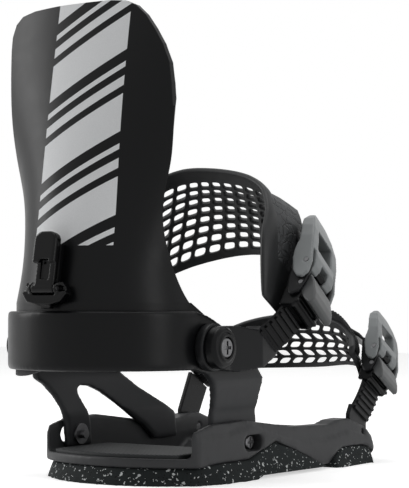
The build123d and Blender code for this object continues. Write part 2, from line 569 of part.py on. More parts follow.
class Strap:
    """A strap loop in its own plane: X across the foot, Y up and forward, Z along the strap's width.

    The pads turn about a hinge line at (hinge_u, hinge_v). The ladder on the outer side is an arc about
    that line where it runs through the buckle, so it slides out of the buckle along itself.
    """

    def __init__(self, origin, tilt, hinge, hinge_w, buckle, scale):
        along = Vector(0, -sin(radians(tilt)), cos(radians(tilt)))
        self.plane = Plane(origin=origin, x_dir=(1, 0, 0), z_dir=along)
        self.hinge = hinge
        self.hinge_w = hinge_w
        self.buckle = buckle
        self.scale = scale
        self.radius = hypot(buckle[0] - hinge[0], buckle[1] - hinge[1])
        self.floor_low = self.angle_at(1)
        self.floor_high = self.angle_at(26)
        self.arc_low = self.angle_at(-3)
        self.arc_high = self.angle_at(23.5)

    def angle_at(self, y):
        """Angle about the hinge line, in degrees, of a height in the buckle's side view."""
        return degrees(asin((self.buckle[1] + y * self.scale - self.hinge[1]) / self.radius))

    def polar(self, radius, angle):
        """Point at a radius and an angle in degrees about the hinge line."""
        a = radians(angle)
        return Vector(self.hinge[0] + radius * cos(a), self.hinge[1] + radius * sin(a), 0)

    def side(self, x, y):
        """Point of the buckle's side view: x out from the ladder, y up."""
        out = TOOTH_TOP + (x - TOOTH_TOP) * self.scale
        return Vector(self.buckle[0] + out, self.buckle[1] + y * self.scale, 0)

    def slab(self, outline, w0, w1):
        """Solid with an outline in the strap's plane, between two places across its width."""
        face = make_face(Polyline(*outline, close=True))
        return self.plane * Pos(0, 0, w0) * extrude(face, amount=w1 - w0, dir=(0, 0, 1))

    def rod(self, point, radius, w0, w1):
        """Round bar along the strap's width."""
        return self.plane * Pos(point.X, point.Y, (w0 + w1) / 2) * Cylinder(radius, w1 - w0)

    def ring(self, r0, r1, a0, a1, w0, w1):
        """Part of a ring about the hinge line."""
        outer = ThreePointArc(self.polar(r1, a0), self.polar(r1, (a0 + a1) / 2), self.polar(r1, a1))
        inner = ThreePointArc(self.polar(r0, a0), self.polar(r0, (a0 + a1) / 2), self.polar(r0, a1))
        face = make_face([outer, Line(outer @ 1, inner @ 1), inner, Line(inner @ 0, outer @ 0)])
        return self.plane * Pos(0, 0, w0) * extrude(face, amount=w1 - w0, dir=(0, 0, 1))


ANKLE = Strap(origin=(0, PIVOT_Y + 50, PIVOT_Z + 1), tilt=53.5, hinge=(-64, 40), hinge_w=0, buckle=(91, 40), scale=1)
TOE = Strap(origin=(0, TOE_RIGHT_Y, TOE_ROOT_Z), tilt=60, hinge=(-64.5, 25), hinge_w=19, buckle=(70, 41), scale=0.76)
ANKLE_ROOT = (73.5, 0.5)
TOE_ROOT = (TOE_ROOT_X - LADDER_T / 2, 4)

# side view of the buckles: x out from the ladder's inner face, y up along the strap
LEVER_PIN = (8, 15)
RELEASE_PIN = (8, -1)
EAR_OUTLINE = [(0, -8), (3, -11), (9, -8), (11.5, 0), (12, 13), (10, 20), (5, 24)]
LEVER_OUTLINE = [(-9.8, 61), (-9, 53), (-5.5, 43), (-3, 33), (-4, 25), (-3, 17), (0.5, 7), (4.5, 2.5), (9.5, 1.5), (12.6, 6),
                 (12.4, 15), (9.6, 25), (7.5, 34), (4.5, 44), (-0.5, 54), (-5.5, 62), (-8, 64)]
LEVER_HUB = [(4.4, 12), (7, 10.4), (10.5, 11), (12.6, 15), (12, 22), (8.5, 29.5), (1.5, 29.5), (3.6, 20)]
LEVER_LEAF = [(CHEEK_OUT, 0), (CHEEK_OUT, 36), (18, 46), (14.5, 54.5), (9.5, 61), (4.5, 63.6)]
LEVER_EAR_TOP = 26.5      # the lever is solid across above this
LEVER_WINDOW_TOP = 45
LEVER_WINDOW_HALF_W = 10.5
LEVER_NOTCH = [(0, 8), (16, 8), (16, 16), (12, 20), (0, 20)]
RELEASE_OUTLINE = [(5.4, 4.2), (8.4, 6), (12.5, 7), (15.5, 3), (19.5, -6), (21, -12), (20.4, -14.6), (17.6, -15.6),
                   (13, -12), (8.5, -6.5), (4.9, -3.6)]
PAWL_OUTLINE = [(3.9, 12.8), (5.4, 11.6), (9.5, 12), (11.3, 14.5), (10.5, 15.6), (5.5, 19), (4.3, 17.5)]


def toe_pocket(side, y):
    """Pocket in the rail that takes a toe ladder's root, with its pin hole."""
    half_y = HALF_STRAP + POCKET_PLAY + 1
    half_x = TOE_TAIL_T / 2 + POCKET_PLAY
    x = side * TOE_ROOT_X
    pocket = box(x - half_x, x + half_x, y - half_y, y + half_y, TOE_ROOT_Z - 13, 60)
    x0, x1 = sorted((side * (WEB_X - 1), side * FAR))
    return pocket + rod_x(TOE_PIN_R + RUN, x0, x1, y, TOE_ROOT_Z - 7)


def toe_pins():
    """Pins through the rails and the roots of the toe ladders."""
    pins = []
    for side, y in ((1, TOE_RIGHT_Y), (-1, TOE_LEFT_Y)):
        x0, x1 = sorted((side * (WEB_X + 0.5), side * (TOE_ROOT_X + 4)))
        pins.append(rod_x(TOE_PIN_R, x0, x1, y, TOE_ROOT_Z - 7))
    return pins


def ladder(strap, low_end):
    """Toothed ladder: its free end runs through the buckle, its low end is fixed."""
    r = strap.radius
    start = strap.polar(r, strap.arc_low)
    lower = TangentArc(start, Vector(*low_end, 0), tangent=strap.polar(1, strap.arc_low - 90) - strap.polar(0, 0))
    inner = []
    outer = []
    steps = 10
    for i in range(steps + 1):
        point = lower @ (i / steps)
        direction = lower % (i / steps)
        normal = Vector(-direction.Y, direction.X, 0)
        inner.append(point)
        outer.append(point + normal * LADDER_T)
    body = strap.slab(inner + outer[::-1], -HALF_STRAP, HALF_STRAP)
    body += strap.ring(r, r + LADDER_T, strap.arc_low, strap.arc_high, -HALF_STRAP, HALF_STRAP)
    half = HALF_STRAP - 1.2
    for i in range(int(lower.length / TOOTH_PITCH)):
        share = (i + 0.35) * TOOTH_PITCH / lower.length
        direction = lower % share
        normal = Vector(-direction.Y, direction.X, 0)
        a = lower @ share + normal * (LADDER_T - 0.4)
        b = a + direction * TOOTH_L
        rise = normal * (TOOTH_H + 0.4)
        body += strap.slab([a, b, b + rise, a + rise], -half, half)
    step = degrees(TOOTH_PITCH / r)
    width = degrees(TOOTH_L / r)
    angle = strap.arc_low + step * 0.3
    while angle + width < strap.arc_high - 0.3:
        body += strap.ring(r + LADDER_T - 0.4, r + TOOTH_TOP, angle, angle + width, -half, half)
        angle += step
    return body


def buckle_base(strap):
    """Channel with a floor under the ladder and an ear on each side."""
    r1 = strap.radius - GAP
    r0 = r1 - BUCKLE_FLOOR_T
    base = strap.ring(r0, r1, strap.floor_low, strap.floor_high, -EAR_OUT, EAR_OUT)
    outline = [strap.side(x, y) for x, y in EAR_OUTLINE]
    outline = [strap.polar(r0, strap.floor_low)] + outline + [strap.polar(r1, strap.floor_high),
                                                              strap.polar(r0, strap.floor_high)]
    for w0, w1 in ((-EAR_OUT, -EAR_IN), (EAR_IN, EAR_OUT)):
        base += strap.slab(outline, w0, w1)
    for pin in (LEVER_PIN, RELEASE_PIN):
        base -= strap.rod(strap.side(*pin), BUCKLE_PIN_R, -EAR_OUT - 1, EAR_OUT + 1)
    return base


def buckle_lever(strap):
    """Hand lever: a leaf with a finger window, two arms outside the ears and a hub between them."""
    body = strap.slab([strap.side(x, y) for x, y in LEVER_OUTLINE], -CHEEK_OUT, CHEEK_OUT)
    half_leaf = [strap.side(-20, y) + Vector(0, 0, w) for w, y in LEVER_LEAF]
    other_half = [Vector(p.X, p.Y, -p.Z) for p in half_leaf[::-1]]
    leaf = extrude(make_face(Polyline(*half_leaf, *other_half, close=True)), amount=60, dir=(1, 0, 0))
    body &= strap.plane * leaf
    sill = LEVER_EAR_TOP + 3
    window = [strap.side(x, y) for x, y in ((-20, LEVER_EAR_TOP), (1.5, LEVER_EAR_TOP), (1.5, sill), (30, sill),
                                            (30, LEVER_WINDOW_TOP), (-20, LEVER_WINDOW_TOP))]
    body -= strap.slab(window, -LEVER_WINDOW_HALF_W, LEVER_WINDOW_HALF_W)
    between = [strap.side(x, y) for x, y in ((-20, -5), (30, -5), (30, LEVER_EAR_TOP), (-20, LEVER_EAR_TOP))]
    body -= strap.slab(between, -CHEEK_IN, CHEEK_IN)
    hub = strap.slab([strap.side(x, y) for x, y in LEVER_HUB], -LEVER_HALF, LEVER_HALF)
    body += hub - strap.slab([strap.side(x, y) for x, y in LEVER_NOTCH], -PAWL_HALF_W, PAWL_HALF_W)
    return body - strap.rod(strap.side(*LEVER_PIN), BUCKLE_PIN_R + RUN, -CHEEK_OUT - 1, CHEEK_OUT + 1)


def drive_pawl(strap):
    """Pawl in the lever's notch that pulls the ladder along."""
    body = strap.slab([strap.side(x, y) for x, y in PAWL_OUTLINE], -PAWL_HALF_W, PAWL_HALF_W)
    return body - strap.rod(strap.side(*LEVER_PIN), BUCKLE_PIN_R + RUN, -EAR_OUT, EAR_OUT)


def release_lever(strap):
    """Sprung lever whose tooth holds the ladder."""
    body = strap.slab([strap.side(x, y) for x, y in RELEASE_OUTLINE], -LEVER_HALF, LEVER_HALF)
    pin = strap.side(*RELEASE_PIN)
    body -= strap.rod(pin, BUCKLE_PIN_R + SPRING_T + GAP, -SPRING_HALF_W - GAP, SPRING_HALF_W + GAP)
    return body - strap.rod(pin, BUCKLE_PIN_R + RUN, -EAR_OUT, EAR_OUT)


def release_spring(strap):
    """Coil around the release lever's pin."""
    pin = strap.side(*RELEASE_PIN)
    coil = strap.rod(pin, BUCKLE_PIN_R + SPRING_T, -SPRING_HALF_W, SPRING_HALF_W)
    return coil - strap.rod(pin, BUCKLE_PIN_R, -SPRING_HALF_W - 1, SPRING_HALF_W + 1)


def buckle_pins(strap):
    reaches = ((LEVER_PIN, CHEEK_OUT), (RELEASE_PIN, EAR_OUT))
    return [strap.rod(strap.side(*pin), BUCKLE_PIN_R, -reach, reach) for pin, reach in reaches]


def hinge_barrel(strap, w0, w1, neck, side):
    """Knuckle on the strap's hinge line with a neck up (side 1) or down (side -1)."""
    u, v = strap.hinge
    w0 += strap.hinge_w
    w1 += strap.hinge_w
    x0, x1 = neck
    block = [Vector(x0, v), Vector(x1, v), Vector(x1, v + side * (BARREL_R + 1)), Vector(x0, v + side * (BARREL_R + 1))]
    knuckle = strap.rod(Vector(u, v), BARREL_R, w0, w1) + strap.slab(block, w0, w1)
    return knuckle - strap.rod(Vector(u, v), BARREL_PIN_R + RUN, w0 - 1, w1 + 1)


def hinge_pin(strap):
    u, v = strap.hinge
    return strap.rod(Vector(u, v), BARREL_PIN_R, strap.hinge_w - HALF_STRAP + 0.5, strap.hinge_w + HALF_STRAP - 0.5)


def end_clip(strap, rows):
    """Rigid end of a pad: a plate across the strap with the two outer knuckles."""
    outer_x = rows[0][0][0]
    inner_x = outer_x + SHELL_T
    v0 = strap.hinge[1] + BARREL_R + GAP
    v1 = rows[0][1][1]
    w = strap.hinge_w
    plate = [Vector(outer_x, v0), Vector(inner_x, v0), Vector(inner_x, v1), Vector(outer_x, v1)]
    clip = strap.slab(plate, w - HALF_STRAP, w + HALF_STRAP)
    for w0, w1 in ((-HALF_STRAP, -KNUCKLE_HALF_W - GAP), (KNUCKLE_HALF_W + GAP, HALF_STRAP)):
        clip += hinge_barrel(strap, w0, w1, (outer_x + 0.5, inner_x - 0.5), 1)
    return clip


MIN_BOW = 0.4


def pad_sections(rows, raise_by, thickness, span, flat_start=False):
    """Bowed sections across a pad; span is the part of the width, 0 at the rear to 1 at the front."""
    sections = []
    middles = [row[1] for row in rows]
    for i, row in enumerate(rows):
        before = middles[max(i - 1, 0)]
        after = middles[min(i + 1, len(rows) - 1)]
        du = after[0] - before[0]
        dv = after[1] - before[1]
        out = Vector(-1, 0, 0) if flat_start and i == 0 else Vector(-dv, du, 0) / hypot(du, dv)
        rear, middle, front = [Vector(*p) for p in row]
        normal = (front - rear).cross(out).normalized()
        middle = middle - normal * (middle - rear).dot(normal)
        if (middle - (rear + front) / 2).length < MIN_BOW:
            middle = (rear + front) / 2 + out * MIN_BOW
        bow = ThreePointArc(rear, middle, front)
        face = [bow @ span[0], bow @ ((span[0] + span[1]) / 2), bow @ span[1]]
        a = ThreePointArc(*[p + out * raise_by for p in face])
        b = ThreePointArc(*[p + out * (raise_by - thickness) for p in face])
        sections.append(make_face([a, Line(a @ 1, b @ 1), b, Line(b @ 0, a @ 0)]))
    return sections


def soft_pad(strap, rows):
    return strap.plane * loft(pad_sections(rows, 0, SHELL_T, (0, 1), flat_start=True))


def rider(strap, rows, height, span, pad):
    """Strip that lies on the outer face of a pad."""
    return strap.plane * loft(pad_sections(rows, height, height + 2, span)) - pad


# rear, middle and front point of each section: x, y in the strap's plane, z across it
ANKLE_ROWS = [
    [(-66, 46, 12.5), (-66.4, 46, 0), (-66, 46, -12.5)],
    [(-65, 66, 25), (-66, 67, 0), (-66, 64, -24)],
    [(-53, 97, 36), (-57, 92, 0), (-61, 79, -35)],
    [(-24, 119, 38), (-30, 113, 0), (-36, 98, -40)],
    [(6, 121, 38), (6, 117, 0), (5, 107, -40)],
    [(43, 111.5, 38), (46, 108, 0), (46, 100, -38)],
    [(63, 92, 37), (69, 90, 0), (70, 84, -34)],
    [(69.5, 60, 36), (78, 58, 0), (80, 58, -26)],
    [(75.5, 24, 19), (79.5, 22, 0), (80, 21, -12)],
]
TOE_ROWS = [
    [(-66, 31.5, 31.5), (-66.4, 31.5, 19), (-66, 31.5, 6.5)],
    [(-64, 47, 25), (-64, 40, 11), (-64, 31, 0)],
    [(-49, 67, 19), (-50, 57, 1), (-49, 46, -11)],
    [(-22, 77.5, 16), (-22, 66, -6), (-21, 52, -18)],
    [(11, 79.3, 14.6), (11, 67, -6.5), (12, 53, -17)],
    [(38, 73, 17.5), (39, 63, -1), (40, 52, -11)],
    [(57, 57, 25), (58, 50.7, 10), (58.5, 44, -1)],
    [(63, 45, 29.5), (64, 41, 17), (64, 36, 8)],
]


# ---------- ankle strap ----------
LUG_IN = CUP_R + GAP
LUG_OUT = LUG_IN + LUG_T
RIGHT_ARM = [(-100, 100.5), (-82, 100.5), (-65, 98), (-62.5, 100.5), (-41.5, 85), (-46, 80), (-60, 73.5), (-80, 71),
             (-100, 73.5)]
ARM_OUT = LUG_OUT + 7.7
RIGHT_ARM_PLAN = [(LUG_IN, -125), (LUG_OUT, -125), (LUG_OUT, -88), (ARM_OUT, -62), (ARM_OUT, -36), (LUG_OUT - 2.3, -36),
                  (LUG_IN, -78)]
LEFT_ARM = [(-100, 100.5), (-80, 103.5), (-64, 110), (-45.2, 123.6), (-25.1, 108.7), (-38, 92), (-56, 79), (-80, 72),
            (-100, 73.5)]
LEFT_ARM_T = 4


def ankle_right_connector(ladder_body):
    """Arm from the pivot to the root of the ladder."""
    arm = side_prism(RIGHT_ARM, 0, FAR) & plan_prism(RIGHT_ARM_PLAN, 0, 150)
    arm = arm + rod_x(LUG_R, LUG_IN, LUG_OUT, PIVOT_Y, PIVOT_Z) - rod_x(BOLT_R + RUN, 0, FAR, PIVOT_Y, PIVOT_Z)
    return arm - ladder_body


def ankle_left_connector():
    """Arm from the pivot up the inner side of the foot to the strap's hinge."""
    arm = side_prism(LEFT_ARM, -LUG_OUT, -LUG_IN)
    arm -= box(-LUG_OUT - 1, -LUG_IN - LEFT_ARM_T, PIVOT_Y + LUG_R + 3, 0, 0, 150)
    arm += rod_x(LUG_R, -LUG_OUT - LEFT_LUG_EXTRA, -LUG_IN, PIVOT_Y, PIVOT_Z)
    arm -= rod_x(BOLT_R + RUN, -FAR, 0, PIVOT_Y, PIVOT_Z)
    arm -= ANKLE.rod(Vector(*ANKLE.hinge), BARREL_R + GAP, -HALF_STRAP - 1, HALF_STRAP + 1)
    return arm + hinge_barrel(ANKLE, -KNUCKLE_HALF_W, KNUCKLE_HALF_W, (-LUG_IN - 3.5, ANKLE.hinge[0] - 1.5), -1)


def ankle_tab(pad, panel):
    """Flexible tongue from the buckle's floor to the pad."""
    top = ANKLE.polar(ANKLE.radius - GAP, ANKLE.floor_high)
    low = ANKLE.polar(ANKLE.radius - GAP - BUCKLE_FLOOR_T, ANKLE.floor_high)
    outline = [top, Vector(83.5, 79), Vector(76, 91), Vector(69.5, 99), Vector(66.5, 97), Vector(73, 89),
               Vector(80.5, 77), low]
    return ANKLE.slab(outline, -9.5, 9.5) - pad - panel


# ---------- toe strap ----------
def toe_right_ladder():
    """Ladder with a thicker root that stands in the rail's pocket."""
    body = ladder(TOE, TOE_ROOT)
    half = TOE_TAIL_T / 2
    low = TOE_ROOT_Z - 12
    root = [(TOE_RIGHT_Y - HALF_STRAP, low), (TOE_RIGHT_Y + HALF_STRAP, low), (TOE_RIGHT_Y + HALF_STRAP, 31),
            (TOE_RIGHT_Y - 8, 43), (TOE_RIGHT_Y - HALF_STRAP, 36)]
    body += side_prism(root, TOE_ROOT_X - half, TOE_ROOT_X + half)
    return body - rod_x(TOE_PIN_R + RUN, 0, FAR, TOE_RIGHT_Y, TOE_ROOT_Z - 7)


def toe_left_ladder():
    """Short ladder from the rail's pocket up to the strap's hinge."""
    half = TOE_TAIL_T / 2
    low = TOE_ROOT_Z - 12
    outline = [(TOE_LEFT_Y - HALF_STRAP, low), (TOE_LEFT_Y + HALF_STRAP, low), (TOE_LEFT_Y + HALF_STRAP, 32),
               (93.5, 51), (72, 63.5), (TOE_LEFT_Y - HALF_STRAP, 36)]
    body = side_prism(outline, -TOE_ROOT_X - half, -TOE_ROOT_X + half)
    for i in range(4):
        along = Pos(0, TOE_LEFT_Y + 6.5 + i * 2.3, 42 + i * 4) * Rot(-30, 0, 0)
        body += along * box(-TOE_ROOT_X - half - TOOTH_H, -TOE_ROOT_X - half + 0.4, -HALF_STRAP + 2.5, HALF_STRAP - 2.5,
                            -TOOTH_L / 2, TOOTH_L / 2)
    body -= rod_x(TOE_PIN_R + RUN, -FAR, 0, TOE_LEFT_Y, TOE_ROOT_Z - 7)
    body -= TOE.rod(Vector(*TOE.hinge), BARREL_R + GAP, TOE.hinge_w - HALF_STRAP - 1, TOE.hinge_w + HALF_STRAP + 1)
    return body + hinge_barrel(TOE, -KNUCKLE_HALF_W, KNUCKLE_HALF_W, (-TOE_ROOT_X - half, -TOE_ROOT_X + half + 0.6), -1)


def toe_tab(pad, top_strap):
    top = TOE.polar(TOE.radius - GAP, TOE.floor_high)
    low = TOE.polar(TOE.radius - GAP - BUCKLE_FLOOR_T, TOE.floor_high)
    outline = [top, Vector(56, 68.5), Vector(47, 73), Vector(45, 70), Vector(54.5, 66), low]
    return TOE.slab(outline, -9.5, 9.5) - pad - top_strap


# ---------- write every sub-part ----------
base = baseplate()
save("baseplate", base)
save("heel_underpad", heel_underpad())
save("forefoot_underpad", forefoot_underpad())
save("mounting_disc", mounting_disc())
save("heel_footbed", heel_footbed())
save("toe_ramp", toe_ramp())
save("toe_ramp_screws", *toe_ramp_screws())
save("toe_footbed", toe_footbed())
save("heelcup", heelcup())
save("heelcup_liner", heelcup_liner())
save("heelcup_screws", *heelcup_screws())
save("heelcup_nuts", *heelcup_nuts())
back = highback()
save("highback", back)
save("highback_lining", highback_lining())
save("pivot_bolts", *pivot_bolts())
save("pivot_nuts", *pivot_nuts())
save("pivot_caps", *pivot_caps())
save("lean_rack", lean_rack() - back)
save("lean_block", lean_block())
save("lean_lever", lean_lever())
save("lean_pin", lean_pin())

right_ladder = ladder(ANKLE, ANKLE_ROOT)
save("ankle_ladder", right_ladder)
save("ankle_right_connector", ankle_right_connector(right_ladder))
save("ankle_left_connector", ankle_left_connector())
ankle_pad = soft_pad(ANKLE, ANKLE_ROWS)
save("ankle_pad", ankle_pad)
ankle_panel = rider(ANKLE, ANKLE_ROWS[5:], 2.5, (0.12, 0.62), ankle_pad)
save("ankle_panel", ankle_panel)
save("ankle_end_clip", end_clip(ANKLE, ANKLE_ROWS))
save("ankle_tab", ankle_tab(ankle_pad, ankle_panel))

toe_pad = soft_pad(TOE, TOE_ROWS)
save("toe_pad", toe_pad)
toe_top_strap = rider(TOE, TOE_ROWS[3:7], 2.5, (0.05, 0.6), toe_pad)
save("toe_top_strap", toe_top_strap)
save("toe_end_clip", end_clip(TOE, TOE_ROWS))
save("toe_right_ladder", toe_right_ladder())
save("toe_left_ladder", toe_left_ladder())
save("toe_pins", *toe_pins())
save("toe_tab", toe_tab(toe_pad, toe_top_strap))

for name, strap in (("ankle", ANKLE), ("toe", TOE)):
    save(name + "_hinge_pin", hinge_pin(strap))
    save(name + "_buckle_base", buckle_base(strap))
    save(name + "_lever", buckle_lever(strap))
    save(name + "_pawl", drive_pawl(strap))
    save(name + "_release_lever", release_lever(strap))
    save(name + "_release_spring", release_spring(strap))
    save(name + "_buckle_pins", *buckle_pins(strap))
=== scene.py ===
import bpy
import bmesh
from math import cos, pi, radians, sin
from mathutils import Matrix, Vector


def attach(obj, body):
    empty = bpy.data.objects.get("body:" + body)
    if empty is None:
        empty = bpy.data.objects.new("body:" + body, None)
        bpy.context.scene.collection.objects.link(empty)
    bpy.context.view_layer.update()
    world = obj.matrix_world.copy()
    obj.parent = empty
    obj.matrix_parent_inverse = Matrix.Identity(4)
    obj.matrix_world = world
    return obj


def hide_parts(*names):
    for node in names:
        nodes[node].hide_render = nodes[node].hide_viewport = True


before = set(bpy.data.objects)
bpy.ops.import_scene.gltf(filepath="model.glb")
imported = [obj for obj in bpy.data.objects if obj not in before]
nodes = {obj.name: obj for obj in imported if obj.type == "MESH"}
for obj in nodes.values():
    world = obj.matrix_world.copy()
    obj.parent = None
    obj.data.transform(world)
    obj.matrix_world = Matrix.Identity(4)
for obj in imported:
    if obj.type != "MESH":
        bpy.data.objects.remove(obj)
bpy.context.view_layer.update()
MM = 0.001


# ---------- shader helpers ----------
class Val:
    """A shader socket that takes part in sums; each operator adds one Math node."""

    def __init__(self, look, socket):
        self.look = look
        self.socket = socket

    def math(self, operation, other=0.0, swap=False):
        pair = (other, self) if swap else (self, other)
        return self.look.node("ShaderNodeMath", {0: pair[0], 1: pair[1]}, operation=operation)

    def __add__(self, other):
        return self.math("ADD", other)

    def __mul__(self, other):
        return self.math("MULTIPLY", other)

    def __sub__(self, other):
        return self.math("SUBTRACT", other)

    def __rsub__(self, other):
        return self.math("SUBTRACT", other, swap=True)

    def __truediv__(self, other):
        return self.math("DIVIDE", other)

    def __gt__(self, other):
        return self.math("GREATER_THAN", other)

    def __lt__(self, other):
        return self.math("LESS_THAN", other)

    __radd__ = __add__
    __rmul__ = __mul__

    def fract(self):
        return self.math("FRACT")

    def abs(self):
        return self.math("ABSOLUTE")


class Look:
    """One material: constants on its shader's own sockets, patterns through node()."""

    def __init__(self, name, colour, roughness, **constants):
        self.material = bpy.data.materials.new(name)
        self.material.use_nodes = True
        self.tree = self.material.node_tree
        self.shader = self.tree.nodes["Principled BSDF"]
        self.colour = (*colour, 1)
        self.set("Base Color", self.colour)
        self.set("Roughness", roughness)
        for key, value in constants.items():
            self.set(key.replace("_", " "), value)

    def node(self, kind, inputs=None, output=0, **settings):
        """Add a node: its settings first, then the values or links of its sockets."""
        made = self.tree.nodes.new(kind)
        stops = settings.pop("stops", None)
        for key, value in settings.items():
            setattr(made, key, value)
        if stops:
            ramp = made.color_ramp
            while len(ramp.elements) < len(stops):
                ramp.elements.new(0.5)
            for element, (place, grey) in zip(ramp.elements, stops):
                element.position = place
                element.color = (grey, grey, grey, 1)
        for key, value in (inputs or {}).items():
            if isinstance(value, Val):
                self.tree.links.new(value.socket, made.inputs[key])
            else:
                made.inputs[key].default_value = value
        return Val(self, made.outputs[output])

    def set(self, name, value):
        """Give one of the shader's sockets a value or a link."""
        if isinstance(value, Val):
            self.tree.links.new(value.socket, self.shader.inputs[name])
        else:
            self.shader.inputs[name].default_value = value

    def place(self):
        """Position on the object, in metres."""
        return self.node("ShaderNodeTexCoord", output="Object")

    def axes(self, vector=None):
        """The three parts of a vector, or of the position."""
        split = self.tree.nodes.new("ShaderNodeSeparateXYZ")
        self.tree.links.new((vector or self.place()).socket, split.inputs[0])
        return [Val(self, out) for out in split.outputs]

    def noise(self, size, detail=3, roughness=0.5, vector=None):
        """Noise whose blobs are about size millimetres."""
        return self.node("ShaderNodeTexNoise", {"Vector": vector or self.place(), "Scale": 1 / (size * MM),
                                                "Detail": detail, "Roughness": roughness})

    def bent_place(self, scale, detail, reach):
        """Object position pushed about by coloured noise, up to about reach metres."""
        warp = self.node("ShaderNodeTexNoise", {"Vector": self.place(), "Scale": scale, "Detail": detail},
                         output="Color")
        bent = self.node("ShaderNodeVectorMath", {0: warp, 1: (reach, reach, reach)}, operation="MULTIPLY")
        return self.node("ShaderNodeVectorMath", {0: bent, 1: self.place()}, operation="ADD")

    def cells(self, size, output="Distance", vector=None, jitter=1.0):
        """Cells about size millimetres across."""
        return self.node("ShaderNodeTexVoronoi", {"Vector": vector or self.place(), "Scale": 1 / (size * MM),
                                                  "Randomness": jitter}, output=output)

    def ramp(self, value, *stops):
        return self.node("ShaderNodeValToRGB", {0: value}, stops=stops)

    def mix(self, share, first, second):
        """Colour between two colours."""
        return self.node("ShaderNodeMix", {0: share, 6: first, 7: second}, output=2, data_type="RGBA")

    def bump(self, height, depth, normal=None, strength=1.0):
        inputs = {"Height": height, "Distance": depth * MM, "Strength": strength}
        if normal:
            inputs["Normal"] = normal
        return self.node("ShaderNodeBump", inputs)

    def rounded(self, radius):
        """Normal that looks like an edge rounded to radius millimetres."""
        return self.node("ShaderNodeBevel", {"Radius": radius * MM}, samples=6)


# ---------- finishes ----------
SHELL_COLOUR = (0.0022, 0.0024, 0.0028)
SILVER_DULL = (0.68, 0.69, 0.7, 1)
SILVER_BRIGHT = (0.82, 0.83, 0.84, 1)
PRINT_SLANT = 0.55        # rise of the bars across the shell
PRINT_LOW = 0.150         # metres, as are the other print sizes
PRINT_PITCH = 0.052
PRINT_MIDDLE = 0.006
PRINT_HALF_W = 0.028
PRINT_Z0 = 0.150
WIDE_BAR = 0.46           # shares of the pitch
THIN_BARS = ((0.62, 0.06), (0.82, 0.035))     # middle and half width
FOAM_COLOUR = (0.0105, 0.0132, 0.0136)
FLECKS = ((4.0, 0.62, 0.22), (2.2, 0.55, 0.24), (6.5, 0.72, 0.18))     # size mm, share left bare, reach
DIMPLE_Z = 0.0055
DIMPLE_HALF_H = 0.0032
CUP_DARK = (0.0024, 0.0026, 0.003)
CUP_PALE = (0.03, 0.031, 0.033)
CUP_BLEND = (0.062, 0.076)


def tone(colour, share=1.0):
    """A colour made lighter or darker, with its alpha."""
    return tuple(c * share for c in colour) + (1,)


def moulded(name, colour, roughness, grain=0.6, depth=0.03, edge=0.7, **constants):
    """Moulded plastic: fine grain, faint cloudy tone, soft edges."""
    look = Look(name, colour, roughness, **constants)
    cloud = look.noise(28, 2)
    look.set("Base Color", look.mix(cloud, tone(colour, 0.8), tone(colour, 1.2)))
    look.set("Roughness", look.noise(6, 4) * 0.16 + (roughness - 0.08))
    normal = look.rounded(edge) if edge else None
    look.set("Normal", look.bump(look.noise(grain, 2), depth, normal))
    return look


def printed_shell():
    """Highback shell: satin black with a pale slanted-bar print on its rear face."""
    look = Look("highback_shell", SHELL_COLOUR, 0.34, Specular_IOR_Level=0.14)
    x, _, z = look.axes()
    normal = look.axes(look.node("ShaderNodeTexCoord", output="Normal"))
    slant = (z - x * PRINT_SLANT - PRINT_LOW) / PRINT_PITCH
    beat = slant.fract()
    bars = (beat < WIDE_BAR) * 1.0
    for middle, half in THIN_BARS:
        bars = bars + ((beat - middle).abs() < half) * 1.0
    rear_face = normal[1] < -0.5
    band = ((x - PRINT_MIDDLE).abs() < PRINT_HALF_W) * (z > PRINT_Z0) * rear_face
    print_mask = bars * band
    cloud = look.noise(40, 2)
    ground = look.mix(cloud, tone(SHELL_COLOUR, 0.85), tone(SHELL_COLOUR, 1.15))
    silver = look.mix(look.noise(0.5, 2), SILVER_DULL, SILVER_BRIGHT)
    look.set("Base Color", look.mix(print_mask, ground, silver))
    look.set("Roughness", look.noise(9, 3) * 0.1 + 0.3 + print_mask * 0.12)
    look.set("Normal", look.bump(look.noise(0.5, 2), 0.012, look.rounded(1.2)))
    return look


def two_tone(name, high_colour, low_colour, low, high):
    """Satin plastic that turns from one tone to another between two heights in metres."""
    look = Look(name, high_colour, 0.3, Specular_IOR_Level=0.13)
    height = look.axes()[2]
    share = ((height - low) / (high - low)).math("MAXIMUM", 0.0).math("MINIMUM", 1.0)
    look.set("Base Color", look.mix(share, tone(low_colour), tone(high_colour)))
    look.set("Roughness", look.noise(6, 4) * 0.12 + 0.36 - share * 0.1)
    look.set("Normal", look.bump(look.noise(0.6, 2), 0.015))
    return look


def foam():
    """Dark closed-cell foam with pale flecks of several sizes, and a band of dimples painted near-black as
    shade.
    """
    look = Look("flecked_foam", FOAM_COLOUR, 0.8, Specular_IOR_Level=0.2)
    place = look.bent_place(260.0, 2.0, 0.006)
    flecks = None
    for size, share, reach in FLECKS:
        near = look.cells(size, vector=place) < reach
        pick = look.axes(look.cells(size, "Color", vector=place))[0] > share
        spot = near * pick
        flecks = spot if flecks is None else flecks.math("MAXIMUM", spot)
    pale = look.mix(look.noise(5, 3), (0.3, 0.32, 0.32, 1), (0.9, 0.92, 0.92, 1))
    ground = look.mix(look.noise(2.2, 4), tone(FOAM_COLOUR, 0.7), tone(FOAM_COLOUR, 1.35))
    height = look.axes()[2]
    shaded_dimples = (look.cells(2.3, jitter=0.6) < 0.24) * ((height - DIMPLE_Z).abs() < DIMPLE_HALF_H)
    # The dimples are painted near-black: painted shade inside them. The bump presses them in.
    look.set("Base Color", look.mix(flecks, look.mix(shaded_dimples, ground, (0.002, 0.002, 0.002, 1)), pale))
    look.set("Normal", look.bump(look.cells(0.9) - shaded_dimples * 3, 0.12))
    return look


